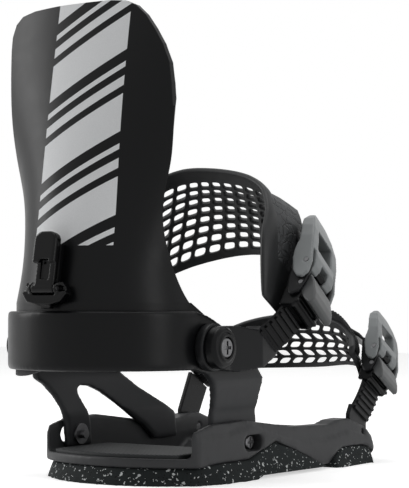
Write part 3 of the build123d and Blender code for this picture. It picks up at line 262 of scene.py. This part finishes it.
def ribbed(name, colour, pitch):
    """Dull rubber with fine slanted ribs on its level faces, their crests painted lighter and their grooves
    darker.
    """
    look = Look(name, colour, 0.6, Specular_IOR_Level=0.2)
    x, y, _ = look.axes()
    level = look.axes(look.node("ShaderNodeTexCoord", output="Normal"))[2] > 0.8
    shaded_rib_wave = ((x * 0.8 + y) * (2 * pi / (pitch * MM))).math("SINE") * level
    # Painted highlight on the rib crests and painted shade in the grooves.
    look.set("Base Color", look.mix(shaded_rib_wave * 0.5 + 0.5, tone(colour, 0.75), tone(colour, 1.2)))
    look.set("Normal", look.bump(shaded_rib_wave * 0.5 + look.noise(0.9, 3) * 0.3, 0.35))
    return look


def crinkled(name, colour):
    """Thin soft skin with short creases, darkened with painted shade."""
    look = Look(name, colour, 0.5, Specular_IOR_Level=0.25)
    place = look.bent_place(220.0, 3.0, 0.005)
    crease = look.node("ShaderNodeTexVoronoi", {"Vector": place, "Scale": 170.0}, output="Distance",
                       feature="DISTANCE_TO_EDGE")
    shaded_folds = look.ramp(crease, (0.0, 0.0), (0.14, 1.0)) + look.ramp(look.noise(14, 2), (0.42, 1.0), (0.55, 0.0))
    shaded_folds = shaded_folds.math("MINIMUM", 1.0)
    # The creases are painted down to a third of the colour: painted shade in the creases.
    look.set("Base Color", look.mix(shaded_folds, tone(colour, 0.3), tone(colour)))
    look.set("Normal", look.bump(shaded_folds + look.noise(0.8, 2) * 0.1, 0.4))
    return look


def cloth(name, colour, pitch=1.1):
    """Foam-backed knit: small raised loops in rows, painted lighter on the loops and darker between them."""
    look = Look(name, colour, 0.85)
    x, _, z = look.axes()
    turns = 2 * pi / (pitch * MM)
    shaded_weave = (x * turns).math("SINE") * (z * turns).math("SINE")
    # Painted highlight on the raised loops and painted shade between them.
    look.set("Base Color", look.mix(shaded_weave * 0.5 + 0.5, tone(colour, 0.6), tone(colour, 1.3)))
    look.set("Normal", look.bump(shaded_weave + look.noise(0.6, 3), 0.12))
    return look


def metal(name, colour, roughness):
    """Turned metal with a faint uneven sheen and soft edges."""
    look = Look(name, colour, roughness, Metallic=1.0)
    look.set("Roughness", look.noise(1.2, 4) * 0.2 + (roughness - 0.1))
    look.set("Base Color", look.mix(look.noise(4, 3), tone(colour, 0.8), tone(colour, 1.1)))
    look.set("Normal", look.bump(look.noise(0.3, 2), 0.01, look.rounded(0.3)))
    return look


SHELL = printed_shell()
BASE = moulded("base_plastic", (0.03, 0.0308, 0.0325), 0.46, depth=0.05, edge=1.0,
               Specular_IOR_Level=0.25)
CUP = two_tone("cup_plastic", CUP_DARK, CUP_PALE, *CUP_BLEND)
CHARCOAL = moulded("charcoal_plastic", (0.008, 0.0084, 0.0092), 0.38, Specular_IOR_Level=0.14)
DARK = moulded("black_plastic", (0.003, 0.0032, 0.0036), 0.3, Specular_IOR_Level=0.12)
LADDER = moulded("ladder_plastic", (0.004, 0.0042, 0.0048), 0.3, edge=0.3, Specular_IOR_Level=0.12)
GLOSS = moulded("gloss_lever", (0.0015, 0.0015, 0.0018), 0.14, depth=0.001, edge=0.8,
                Specular_IOR_Level=0.16)
LEVER = moulded("lever_paint", (0.2, 0.212, 0.215), 0.4, depth=0.006, edge=0.9,
                Specular_IOR_Level=0.35)
RELEASE = moulded("release_paint", (0.07, 0.073, 0.074), 0.42, depth=0.01, edge=0.9,
                  Specular_IOR_Level=0.35)
PAD = moulded("strap_urethane", (0.013, 0.0138, 0.0146), 0.48, grain=0.8, depth=0.05, edge=0,
              Specular_IOR_Level=0.3)
FOAM = foam()
BED = ribbed("bed_rubber", (0.022, 0.0235, 0.0245), 3.2)
LEAF = crinkled("strap_cover", (0.042, 0.044, 0.046))
LINING = cloth("lining_knit", (0.02, 0.02, 0.022))
SCREW = metal("black_screw", (0.16, 0.16, 0.165), 0.35)
STEEL = metal("steel", (0.45, 0.45, 0.45), 0.3)

DRESS = {
    BASE: ["baseplate", "toe_ramp", "mounting_disc"],
    SHELL: ["highback"],
    CUP: ["heelcup", "pivot_caps", "lean_rack"],
    CHARCOAL: ["ankle_right_connector", "ankle_left_connector", "ankle_end_clip", "toe_end_clip",
               "ankle_tab", "toe_tab", "toe_right_ladder", "toe_left_ladder", "ankle_buckle_base",
               "toe_buckle_base"],
    LADDER: ["ankle_ladder"],
    GLOSS: ["lean_block", "lean_lever"],
    LEVER: ["ankle_lever", "toe_lever"],
    RELEASE: ["ankle_release_lever", "toe_release_lever"],
    DARK: ["ankle_pawl", "toe_pawl"],
    SCREW: ["toe_ramp_screws", "heelcup_screws", "pivot_bolts", "toe_pins", "ankle_hinge_pin",
            "toe_hinge_pin", "ankle_buckle_pins", "toe_buckle_pins", "lean_pin", "heelcup_nuts"],
    STEEL: ["ankle_release_spring", "toe_release_spring", "pivot_nuts"],
    PAD: ["ankle_panel", "toe_top_strap"],
}
for look, names in DRESS.items():
    for name in names:
        nodes[name].data.materials.clear()
        nodes[name].data.materials.append(look.material)


# ---------- mesh helpers ----------
def new_piece(name, points, faces, look):
    """A piece with one look, from points in metres."""
    mesh = bpy.data.meshes.new(name)
    mesh.from_pydata([tuple(p) for p in points], [], faces)
    mesh.validate()
    piece = bpy.data.objects.new(name, mesh)
    bpy.context.scene.collection.objects.link(piece)
    piece.data.materials.append(look.material)
    return piece


def settle(piece):
    """Turn a piece's modifiers into a plain mesh."""
    graph = bpy.context.evaluated_depsgraph_get()
    mesh = bpy.data.meshes.new_from_object(piece.evaluated_get(graph))
    piece.modifiers.clear()
    piece.data = mesh
    return piece


def round_over(piece, voxel, rounds):
    """Remesh a piece evenly and smooth its edges over."""
    remesh = piece.modifiers.new("remesh", "REMESH")
    remesh.mode = "VOXEL"
    remesh.voxel_size = voxel * MM
    smooth = piece.modifiers.new("smooth", "SMOOTH")
    smooth.iterations = rounds
    smooth.factor = 0.5
    settle(piece)
    piece.data.shade_smooth()


def fit(piece, body, node=None):
    """Say what a piece moves with, and hide the part that it stands for."""
    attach(piece, body)
    if node:
        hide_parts(node)


def softened(node, name, voxel, rounds, look, body):
    """A copy of a solid with its edges rounded over."""
    piece = bpy.data.objects.new(name, nodes[node].data.copy())
    bpy.context.scene.collection.objects.link(piece)
    piece.data.materials.clear()
    piece.data.materials.append(look.material)
    mesh = bmesh.new()
    mesh.from_mesh(piece.data)
    bmesh.ops.remove_doubles(mesh, verts=mesh.verts, dist=1e-5)
    mesh.to_mesh(piece.data)
    mesh.free()
    round_over(piece, voxel, rounds)
    fit(piece, body, node)
    return piece


SAMPLES = 20     # samples between two rows of a strap


class StrapFrame:
    """A strap's surface in millimetres: u across the foot, v away from its hinge line, w along the shin.

    Each row has three points across the strap, from its upper edge to its lower one. s counts the rows
    and t goes across, and a positive lift is inwards.
    """

    def __init__(self, origin, tilt, rows):
        a = radians(tilt)
        self.origin = Vector(origin)
        self.u = Vector((1, 0, 0))
        self.v = Vector((0, cos(a), sin(a)))
        self.w = Vector((0, -sin(a), cos(a)))
        self.rows = [[Vector(p) for p in row] for row in rows]
        self.lengths = [0.0]
        steps = SAMPLES * (len(rows) - 1)
        points = [self.local(i / SAMPLES, 0.5) for i in range(steps + 1)]
        for a, b in zip(points, points[1:]):
            self.lengths.append(self.lengths[-1] + (b - a).length)

    def local(self, s, t):
        """Point in the strap's own plane: a smooth curve through the rows, a parabola across them."""
        last = len(self.rows) - 1
        s = min(max(s, 0), last)
        i = min(int(s), last - 1)
        f = s - i
        a, b, c, d = [self.rows[min(max(k, 0), last)] for k in (i - 1, i, i + 1, i + 2)]
        upper, middle, lower = [
            0.5 * (2 * q + (r - p) * f + (2 * p - 5 * q + 4 * r - x) * f * f
                   + (3 * q - p - 3 * r + x) * f ** 3)
            for p, q, r, x in zip(a, b, c, d)]
        return (upper * ((1 - t) * (1 - 2 * t)) + middle * (4 * t * (1 - t))
                + lower * (t * (2 * t - 1)))

    def point(self, s, t, lift=0.0):
        """Point in metres, lifted off the surface by millimetres."""
        p = self.local(s, t)
        if lift:
            ds = self.local(s + 0.05, t) - self.local(s - 0.05, t)
            dt = self.local(s, t + 0.02) - self.local(s, t - 0.02)
            p = p + dt.cross(ds).normalized() * lift
        return (self.origin + self.u * p.x + self.v * p.y + self.w * p.z) * MM

    def station(self, length):
        """The s at a length along the middle line."""
        for i, (a, b) in enumerate(zip(self.lengths, self.lengths[1:])):
            if b >= length:
                return (i + (length - a) / (b - a)) / SAMPLES
        return len(self.rows) - 1


ANKLE = StrapFrame((0, -56, 88), 53.5, [
    [(-66, 46, 12.5), (-66.4, 46, 0), (-66, 46, -12.5)],
    [(-65, 66, 25), (-66, 67, 0), (-66, 64, -24)],
    [(-53, 97, 36), (-57, 92, 0), (-61, 79, -35)],
    [(-24, 119, 38), (-30, 113, 0), (-36, 98, -40)],
    [(6, 121, 38), (6, 117, 0), (5, 107, -40)],
    [(43, 111.5, 38), (46, 108, 0), (46, 100, -38)],
    [(63, 92, 37), (69, 90, 0), (70, 84, -34)],
    [(69.5, 60, 36), (78, 58, 0), (80, 58, -26)],
    [(75.5, 24, 19), (79.5, 22, 0), (80, 21, -12)],
])
TOE = StrapFrame((0, 89, 30), 60, [
    [(-66, 31.5, 31.5), (-66.4, 31.5, 19), (-66, 31.5, 6.5)],
    [(-64, 47, 25), (-64, 40, 11), (-64, 31, 0)],
    [(-49, 67, 19), (-50, 57, 1), (-49, 46, -11)],
    [(-22, 77.5, 16), (-22, 66, -6), (-21, 52, -18)],
    [(11, 79.3, 14.6), (11, 67, -6.5), (12, 53, -17)],
    [(38, 73, 17.5), (39, 63, -1), (40, 52, -11)],
    [(57, 57, 25), (58, 50.7, 10), (58.5, 44, -1)],
    [(63, 45, 29.5), (64, 41, 17), (64, 36, 8)],
])


def sheet(name, look, strap, rows, thick, fine=(12, 24), ribs=0, depth=0.0):
    """Thin solid on a strap: rows of (s, t, lift) corners, with ribs across its length."""
    def spot(a, b):
        """Point of the corner net at shares a along the rows and b along each row."""
        a, b = a * (len(rows) - 1), b * (len(rows[0]) - 1)
        i, j = min(int(a), len(rows) - 2), min(int(b), len(rows[0]) - 2)
        a, b = a - i, b - j
        low = [p * (1 - b) + q * b for p, q in zip(rows[i][j], rows[i][j + 1])]
        high = [p * (1 - b) + q * b for p, q in zip(rows[i + 1][j], rows[i + 1][j + 1])]
        return [p * (1 - a) + q * a for p, q in zip(low, high)]

    n, m = fine
    points = []
    for side in (1, 0):
        for i in range(n + 1):
            for j in range(m + 1):
                along, across, lift = spot(i / n, j / m)
                edge = min(i, n - i, 2) * min(j, m - j, 2) / 4
                rib = depth * (sin(2 * pi * ribs * j / m) > 0) if ribs and side else 0
                points.append(strap.point(along, across, -lift - side * (thick * (0.35 + 0.65 * edge) + rib)))
    wide = m + 1
    count = (n + 1) * wide
    faces = []
    for i in range(n):
        for j in range(m):
            a = i * wide + j
            faces.append((a, a + 1, a + wide + 1, a + wide))
            faces.append((count + a, count + a + wide, count + a + wide + 1, count + a + 1))
    rim = [j for j in range(m)] + [m + i * wide for i in range(n)]
    rim += [n * wide + j for j in range(m, 0, -1)] + [i * wide for i in range(n, 0, -1)]
    for a, b in zip(rim, rim[1:] + rim[:1]):
        faces.append((b, a, count + a, count + b))
    piece = new_piece(name, points, faces, look)
    mesh = bmesh.new()
    mesh.from_mesh(piece.data)
    bmesh.ops.recalc_face_normals(mesh, faces=mesh.faces)
    mesh.to_mesh(piece.data)
    mesh.free()
    return piece


def perforation_tree(look):
    """Geometry Nodes: opens a rounded hole in every marked face."""
    tree = bpy.data.node_groups.new("perforations", "GeometryNodeTree")
    sockets = tree.interface
    sockets.new_socket("Geometry", in_out="INPUT", socket_type="NodeSocketGeometry")
    sockets.new_socket("Hole Size", in_out="INPUT", socket_type="NodeSocketFloat")
    sockets.new_socket("Geometry", in_out="OUTPUT", socket_type="NodeSocketGeometry")

    def add(kind, inputs=None, **settings):
        made = tree.nodes.new(kind)
        for key, value in settings.items():
            setattr(made, key, value)
        for key, value in (inputs or {}).items():
            if isinstance(value, bpy.types.NodeSocket):
                tree.links.new(value, made.inputs[key])
            else:
                made.inputs[key].default_value = value
        return made

    source = add("NodeGroupInput")
    marked = add("GeometryNodeInputNamedAttribute", {"Name": "open"}, data_type="BOOLEAN")
    inset = add("GeometryNodeExtrudeMesh", {
        "Mesh": source.outputs["Geometry"], "Selection": marked.outputs["Attribute"],
        "Offset Scale": 0.0, "Individual": True}, mode="FACES")
    shrunk = add("GeometryNodeScaleElements", {
        "Geometry": inset.outputs["Mesh"], "Selection": inset.outputs["Top"],
        "Scale": source.outputs["Hole Size"]}, domain="FACE")
    opened = add("GeometryNodeDeleteGeometry", {
        "Geometry": shrunk.outputs["Geometry"], "Selection": inset.outputs["Top"]}, domain="FACE")
    divided = add("GeometryNodeSubdivideMesh", {"Mesh": opened.outputs["Geometry"], "Level": 1})
    real = add("GeometryNodeRealizeInstances", {"Geometry": divided.outputs["Mesh"]})
    dressed = add("GeometryNodeSetMaterial", {
        "Geometry": real.outputs["Geometry"], "Material": look.material})
    add("NodeGroupOutput", {"Geometry": dressed.outputs["Geometry"]})
    return tree


PLAIN_ENDS = 4                 # columns without holes at each end of a pad
UPPER_BORDER = (0, 0.35, 0.7)  # steps across the border above the holes
PAD_T = 4.4                    # millimetres
EDGE_DEPTH = 0.75              # shares of a pad's thickness
PLAIN_DEPTH = 0.9


def perforated_pad(name, strap, span, grid, band, hole, thick, depths, look, lean=0.0, zigzag=0.0):
    """Pad with a lattice of holes and a plain border.

    span is where the holes start and end along the middle line, in millimetres, grid the columns and
    rows of holes, band the part of the width that has them, and depths the thickness of the lattice
    along each row's edge, as a share of thick. lean shifts each row along the strap, and zigzag shifts
    every second one.
    """
    first, last = span
    columns, rows = grid
    top, bottom = band
    total = strap.lengths[-1]
    points = []
    faces = []
    marks = []
    weights = []
    ts = [top * f for f in UPPER_BORDER]
    ts += [top + (bottom - top) * r / rows for r in range(rows + 1)]
    ts += [(1 + bottom) / 2, 1]
    wide = 2 * PLAIN_ENDS + columns + 1
    upper = len(UPPER_BORDER)
    for j, t in enumerate(ts):
        row = min(max(j - upper, 0), rows)
        shift = -lean * row - (zigzag if row % 2 else 0)
        left, right = first + shift, last + shift
        stops = [left * i / PLAIN_ENDS for i in range(PLAIN_ENDS)]
        stops += [left + (right - left) * i / columns for i in range(columns + 1)]
        stops += [right + (total - right) * (i + 1) / PLAIN_ENDS for i in range(PLAIN_ENDS)]
        for i, length in enumerate(stops):
            points.append(strap.point(strap.station(length), t))
            edge = j == 0 or j == len(ts) - 1 or i == 0 or i == wide - 1
            near = 1 <= j <= 2 or i in (1, wide - 2)
            inside = upper <= j <= upper + rows and PLAIN_ENDS <= i <= PLAIN_ENDS + columns
            weights.append(EDGE_DEPTH if edge else 1.0 if near else depths[row] if inside else PLAIN_DEPTH)
    for j in range(len(ts) - 1):
        for i in range(wide - 1):
            a = j * wide + i
            faces.append((a, a + wide, a + wide + 1, a + 1))
            marks.append(upper <= j < upper + rows and PLAIN_ENDS <= i < PLAIN_ENDS + columns)
    piece = new_piece(name, points, faces, look)
    mark = piece.data.attributes.new("open", "BOOLEAN", "FACE")
    mark.data.foreach_set("value", marks)
    group = piece.vertex_groups.new(name="thickness")
    for i, weight in enumerate(weights):
        group.add([i], weight, "REPLACE")
    holes = piece.modifiers.new("holes", "NODES")
    holes.node_group = perforation_tree(look)
    for socket in holes.node_group.interface.items_tree:
        if socket.item_type == "SOCKET" and socket.name == "Hole Size":
            holes[socket.identifier] = hole
    settle(piece)
    solid = piece.modifiers.new("thickness", "SOLIDIFY")
    solid.thickness = thick * MM
    solid.offset = -1
    solid.use_even_offset = False
    solid.vertex_group = "thickness"
    solid.thickness_vertex_group = 0.0
    surface = piece.modifiers.new("subdivide", "SUBSURF")
    surface.levels = 1
    surface.render_levels = 1
    settle(piece)
    piece.data.shade_smooth()
    return piece


# ---------- strap pads and covers ----------
ankle_pad = perforated_pad(
    "ankle_pad_shell", ANKLE, span=(40, 178), grid=(13, 8), band=(0.15, 0.94), hole=0.72, thick=PAD_T,
    depths=(0.5, 0.6, 0.95, 1, 1, 1, 1, 0.85, 0.7), look=PAD, lean=3.0)
fit(ankle_pad, "ankle_strap", "ankle_pad")

toe_pad = perforated_pad(
    "toe_pad_shell", TOE, span=(24, 178), grid=(14, 5), band=(0.12, 0.92), hole=0.7, thick=PAD_T,
    depths=(0.5,) * 6, look=PAD, zigzag=5.5)
fit(toe_pad, "toe_strap", "toe_pad")

leaf = sheet("ankle_cover", LEAF, ANKLE, [
    [(5.6, 0.04, 1.5), (5.5, 0.22, 6.0), (5.55, 0.42, 11.0)],
    [(6.0, 0.02, 1.0), (5.95, 0.25, 4.5), (5.9, 0.46, 8.0)],
    [(6.6, 0.02, 1.0), (6.6, 0.25, 2.5), (6.5, 0.5, 3.0)],
    [(7.2, 0.03, 1.0), (7.2, 0.2, 2.0), (7.15, 0.42, 2.0)],
    [(7.55, 0.08, 1.0), (7.5, 0.2, 1.5), (7.45, 0.34, 1.5)]], 1.8)
fit(leaf, "ankle_strap", "ankle_panel")

band = sheet("toe_band", CHARCOAL, TOE, [
    [(3.3, 0.16, 0.5), (4.2, 0.14, 0.5), (5.0, 0.16, 0.5), (5.6, 0.24, 0.8), (6.2, 0.36, 1.2),
     (6.7, 0.42, 1.5)],
    [(3.3, -0.02, 1.0), (4.2, -0.12, 2.0), (5.0, -0.14, 2.5), (5.6, -0.08, 3.0), (6.2, 0.02, 3.0),
     (6.7, 0.1, 3.0)]],
    2.2, fine=(6, 120), ribs=30, depth=0.7)
fit(band, "toe_strap", "toe_top_strap")


# ---------- buckle housings ----------
ANKLE_BUCKLE = (91, 40)        # place on its strap, u and v in millimetres
TOE_BUCKLE = (70, 41)
TOE_SCALE = 0.76               # size of the toe buckle beside the ankle one
HOOD_INNER = 3                 # distance from the strap that stays when the housing is scaled
HOOD_HALF_W = 14
CHEEK_T = 2.5
CHEEK = [(-4, -17), (6, -18), (9.5, -14), (9, 2), (6, 9), (-4, 9)]
FRONT_PLATE = [(4.6, -17), (7.4, -17), (7.4, 4), (4.6, 4)]
HOOD_BARS = 3
HOOD_BAR_PITCH = 6.4
HOOD_BAR_LOW = -16


def buckle_hood(name, strap, origin, scale, body):
    """Housing over the ladder below the lever: side cheeks, a front plate and three bars."""
    def prism(outline, w0, w1):
        flat = [(origin[0] + (x - HOOD_INNER) * scale + HOOD_INNER, origin[1] + y * scale)
                for x, y in outline]
        base = len(points)
        for w in (w0, w1):
            points.extend((strap.origin + strap.u * u + strap.v * v + strap.w * w) * MM for u, v in flat)
        n = len(flat)
        faces.append(tuple(base + i for i in reversed(range(n))))
        faces.append(tuple(base + n + i for i in range(n)))
        faces.extend((base + i, base + (i + 1) % n, base + n + (i + 1) % n, base + n + i) for i in range(n))

    points, faces = [], []
    half = HOOD_HALF_W
    for w0, w1 in ((-half, CHEEK_T - half), (half - CHEEK_T, half)):
        prism(CHEEK, w0, w1)
    prism(FRONT_PLATE, -half, half)
    for i in range(HOOD_BARS):
        y = HOOD_BAR_LOW + HOOD_BAR_PITCH * i
        prism([(6.5, y), (10.5, y + 0.6), (10.5, y + 3), (6.5, y + 3.6)], -half, half)
    hood = new_piece(name, points, faces, DARK)
    round_over(hood, 0.55 * scale, 3)
    fit(hood, body)


buckle_hood("ankle_hood", ANKLE, ANKLE_BUCKLE, 1, "ankle_strap")
buckle_hood("toe_hood", TOE, TOE_BUCKLE, TOE_SCALE, "toe_strap")


# ---------- foam, beds and solids with softened edges ----------
softened("heel_underpad", "heel_foam", 1.5, 4, FOAM, "base")
softened("forefoot_underpad", "forefoot_foam", 1.5, 4, FOAM, "base")
softened("heel_footbed", "heel_bed", 0.9, 3, BED, "base")
softened("toe_footbed", "toe_bed", 0.9, 3, BED, "ramp")
for node, voxel, rounds, look, body, slot in (
        ("baseplate", 1.2, 4, BASE, "base", "base_black"),
        ("ankle_lever", 0.6, 8, LEVER, "ankle_handle", "lever_grey"),
        ("toe_lever", 0.5, 7, LEVER, "toe_handle", "lever_grey"),
        ("ankle_release_lever", 0.5, 8, RELEASE, "ankle_release", "charcoal"),
        ("toe_release_lever", 0.4, 8, RELEASE, "toe_release", "charcoal"),
        ("ankle_buckle_base", 0.6, 3, CHARCOAL, "ankle_strap", "charcoal"),
        ("toe_buckle_base", 0.5, 3, CHARCOAL, "toe_strap", "charcoal"),
        ("ankle_right_connector", 0.8, 5, CHARCOAL, "ankle_loop", "charcoal"),
        ("ankle_left_connector", 0.8, 5, CHARCOAL, "ankle_loop", "charcoal"),
        ("heelcup", 1.2, 9, CUP, "cup", "shell_black"),
        ("toe_ramp", 1.0, 3, BASE, "ramp", "base_black"),
        ("ankle_tab", 0.6, 4, CHARCOAL, "ankle_strap", "charcoal"),
        ("toe_tab", 0.5, 4, CHARCOAL, "toe_strap", "charcoal"),
        ("toe_left_ladder", 0.5, 2, LADDER, "base", "ladder_black"),
        ("pivot_caps", 0.5, 4, CUP, "cup", "shell_black"),
        ("lean_block", 0.5, 5, GLOSS, "lean_slider", "lever_black"),
        ("lean_lever", 0.45, 6, GLOSS, "lean_flip", "lever_black")):
    softened(node, node + "_skin", voxel, rounds, look, body)

# The cup's liner ends above the hoop's lower edge, but for a crescent that drops below it on the left.
HOOP_BOTTOM = 73
LIP_MIDDLE = 36
LIP_REACH = 27
LIP_DROP = 4.4
LIP_LIFT = 0.4
softened("highback_lining", "shin_lining", 1.5, 6, LINING, "back")
liner = softened("heelcup_liner", "cup_liner", 1.2, 4, LINING, "cup")
for vertex in liner.data.vertices:
    drop = max(0, 1 - ((vertex.co.x / MM + LIP_MIDDLE) / LIP_REACH) ** 2)
    vertex.co.z = max(vertex.co.z, (HOOP_BOTTOM + LIP_LIFT - LIP_DROP * drop) * MM)


# ---------- stage, light and camera ----------
FLOOR_HALF = 3.0
FLOOR_GLOW = 0.55
WORLD_DIM = 0.3
MIDDLE = (0, 0, 0.13)          # what the lamps aim at


def floor():
    """Pale floor that glows a little to the camera and in reflections."""
    half = FLOOR_HALF
    look = Look("studio_floor", (0.9, 0.9, 0.9), 0.9)
    corners = [(-half, -half, 0), (half, -half, 0), (half, half, 0), (-half, half, 0)]
    piece = new_piece("floor", corners, [(0, 1, 2, 3)], look)
    rays = look.tree.nodes.new("ShaderNodeLightPath")
    seen = Val(look, rays.outputs["Is Camera Ray"]).math("MAXIMUM", Val(look, rays.outputs["Is Glossy Ray"]))
    glow = look.node("ShaderNodeEmission", {"Color": (1, 1, 1, 1), "Strength": FLOOR_GLOW})
    shader = Val(look, look.shader.outputs[0])
    total = look.node("ShaderNodeAddShader", {0: shader, 1: glow})
    both = look.node("ShaderNodeMixShader", {0: seen, 1: shader, 2: total})
    out = look.tree.nodes["Material Output"]
    look.tree.links.new(both.socket, out.inputs[0])


def studio_world():
    """White to the camera and in reflections, and dim as a light."""
    world = bpy.data.worlds.new("studio")
    world.use_nodes = True
    bpy.context.scene.world = world
    tree = world.node_tree
    tree.nodes.clear()
    rays = tree.nodes.new("ShaderNodeLightPath")
    seen = tree.nodes.new("ShaderNodeMath")
    seen.operation = "MAXIMUM"
    also = tree.nodes.new("ShaderNodeMath")
    also.operation = "MAXIMUM"
    tree.links.new(rays.outputs["Is Camera Ray"], seen.inputs[0])
    tree.links.new(rays.outputs["Is Glossy Ray"], seen.inputs[1])
    tree.links.new(seen.outputs[0], also.inputs[0])
    tree.links.new(rays.outputs["Is Transmission Ray"], also.inputs[1])
    dim = tree.nodes.new("ShaderNodeBackground")
    dim.inputs["Color"].default_value = (1, 1, 1, 1)
    dim.inputs["Strength"].default_value = WORLD_DIM
    white = tree.nodes.new("ShaderNodeBackground")
    white.inputs["Color"].default_value = (1, 1, 1, 1)
    white.inputs["Strength"].default_value = 1.0
    blend = tree.nodes.new("ShaderNodeMixShader")
    tree.links.new(also.outputs[0], blend.inputs[0])
    tree.links.new(dim.outputs[0], blend.inputs[1])
    tree.links.new(white.outputs[0], blend.inputs[2])
    out = tree.nodes.new("ShaderNodeOutputWorld")
    tree.links.new(blend.outputs[0], out.inputs[0])


def lamp(name, place, size, power):
    """Rectangular lamp that faces the part's middle."""
    data = bpy.data.lights.new(name, "AREA")
    data.shape = "RECTANGLE"
    data.size, data.size_y = size
    data.energy = power
    lamp_object = bpy.data.objects.new(name, data)
    lamp_object.location = place
    lamp_object.rotation_euler = (Vector(MIDDLE) - Vector(place)).to_track_quat("-Z", "Y").to_euler()
    bpy.context.scene.collection.objects.link(lamp_object)


floor()
studio_world()
lamp("key", (-1.4, -0.6, 0.7), (0.5, 1.1), 9.5)
lamp("side", (1.4, -0.1, 0.5), (0.4, 1.0), 4)
lamp("top", (0, 0.1, 1.6), (1.0, 1.0), 8)

CAMERA_PLACE = (0.6194, -0.9450, 0.1086)
CAMERA_VIEW = (-0.5514, 0.8331, 0.0431)
camera = bpy.data.objects.new("camera", bpy.data.cameras.new("camera"))
camera.location = CAMERA_PLACE
camera.rotation_euler = Vector(CAMERA_VIEW).to_track_quat("-Z", "Y").to_euler()
camera.data.lens = 118
camera.data.sensor_width = 36
bpy.context.scene.collection.objects.link(camera)
bpy.context.scene.camera = camera
bpy.context.scene.view_settings.view_transform = "Standard"

bpy.context.view_layer.update()
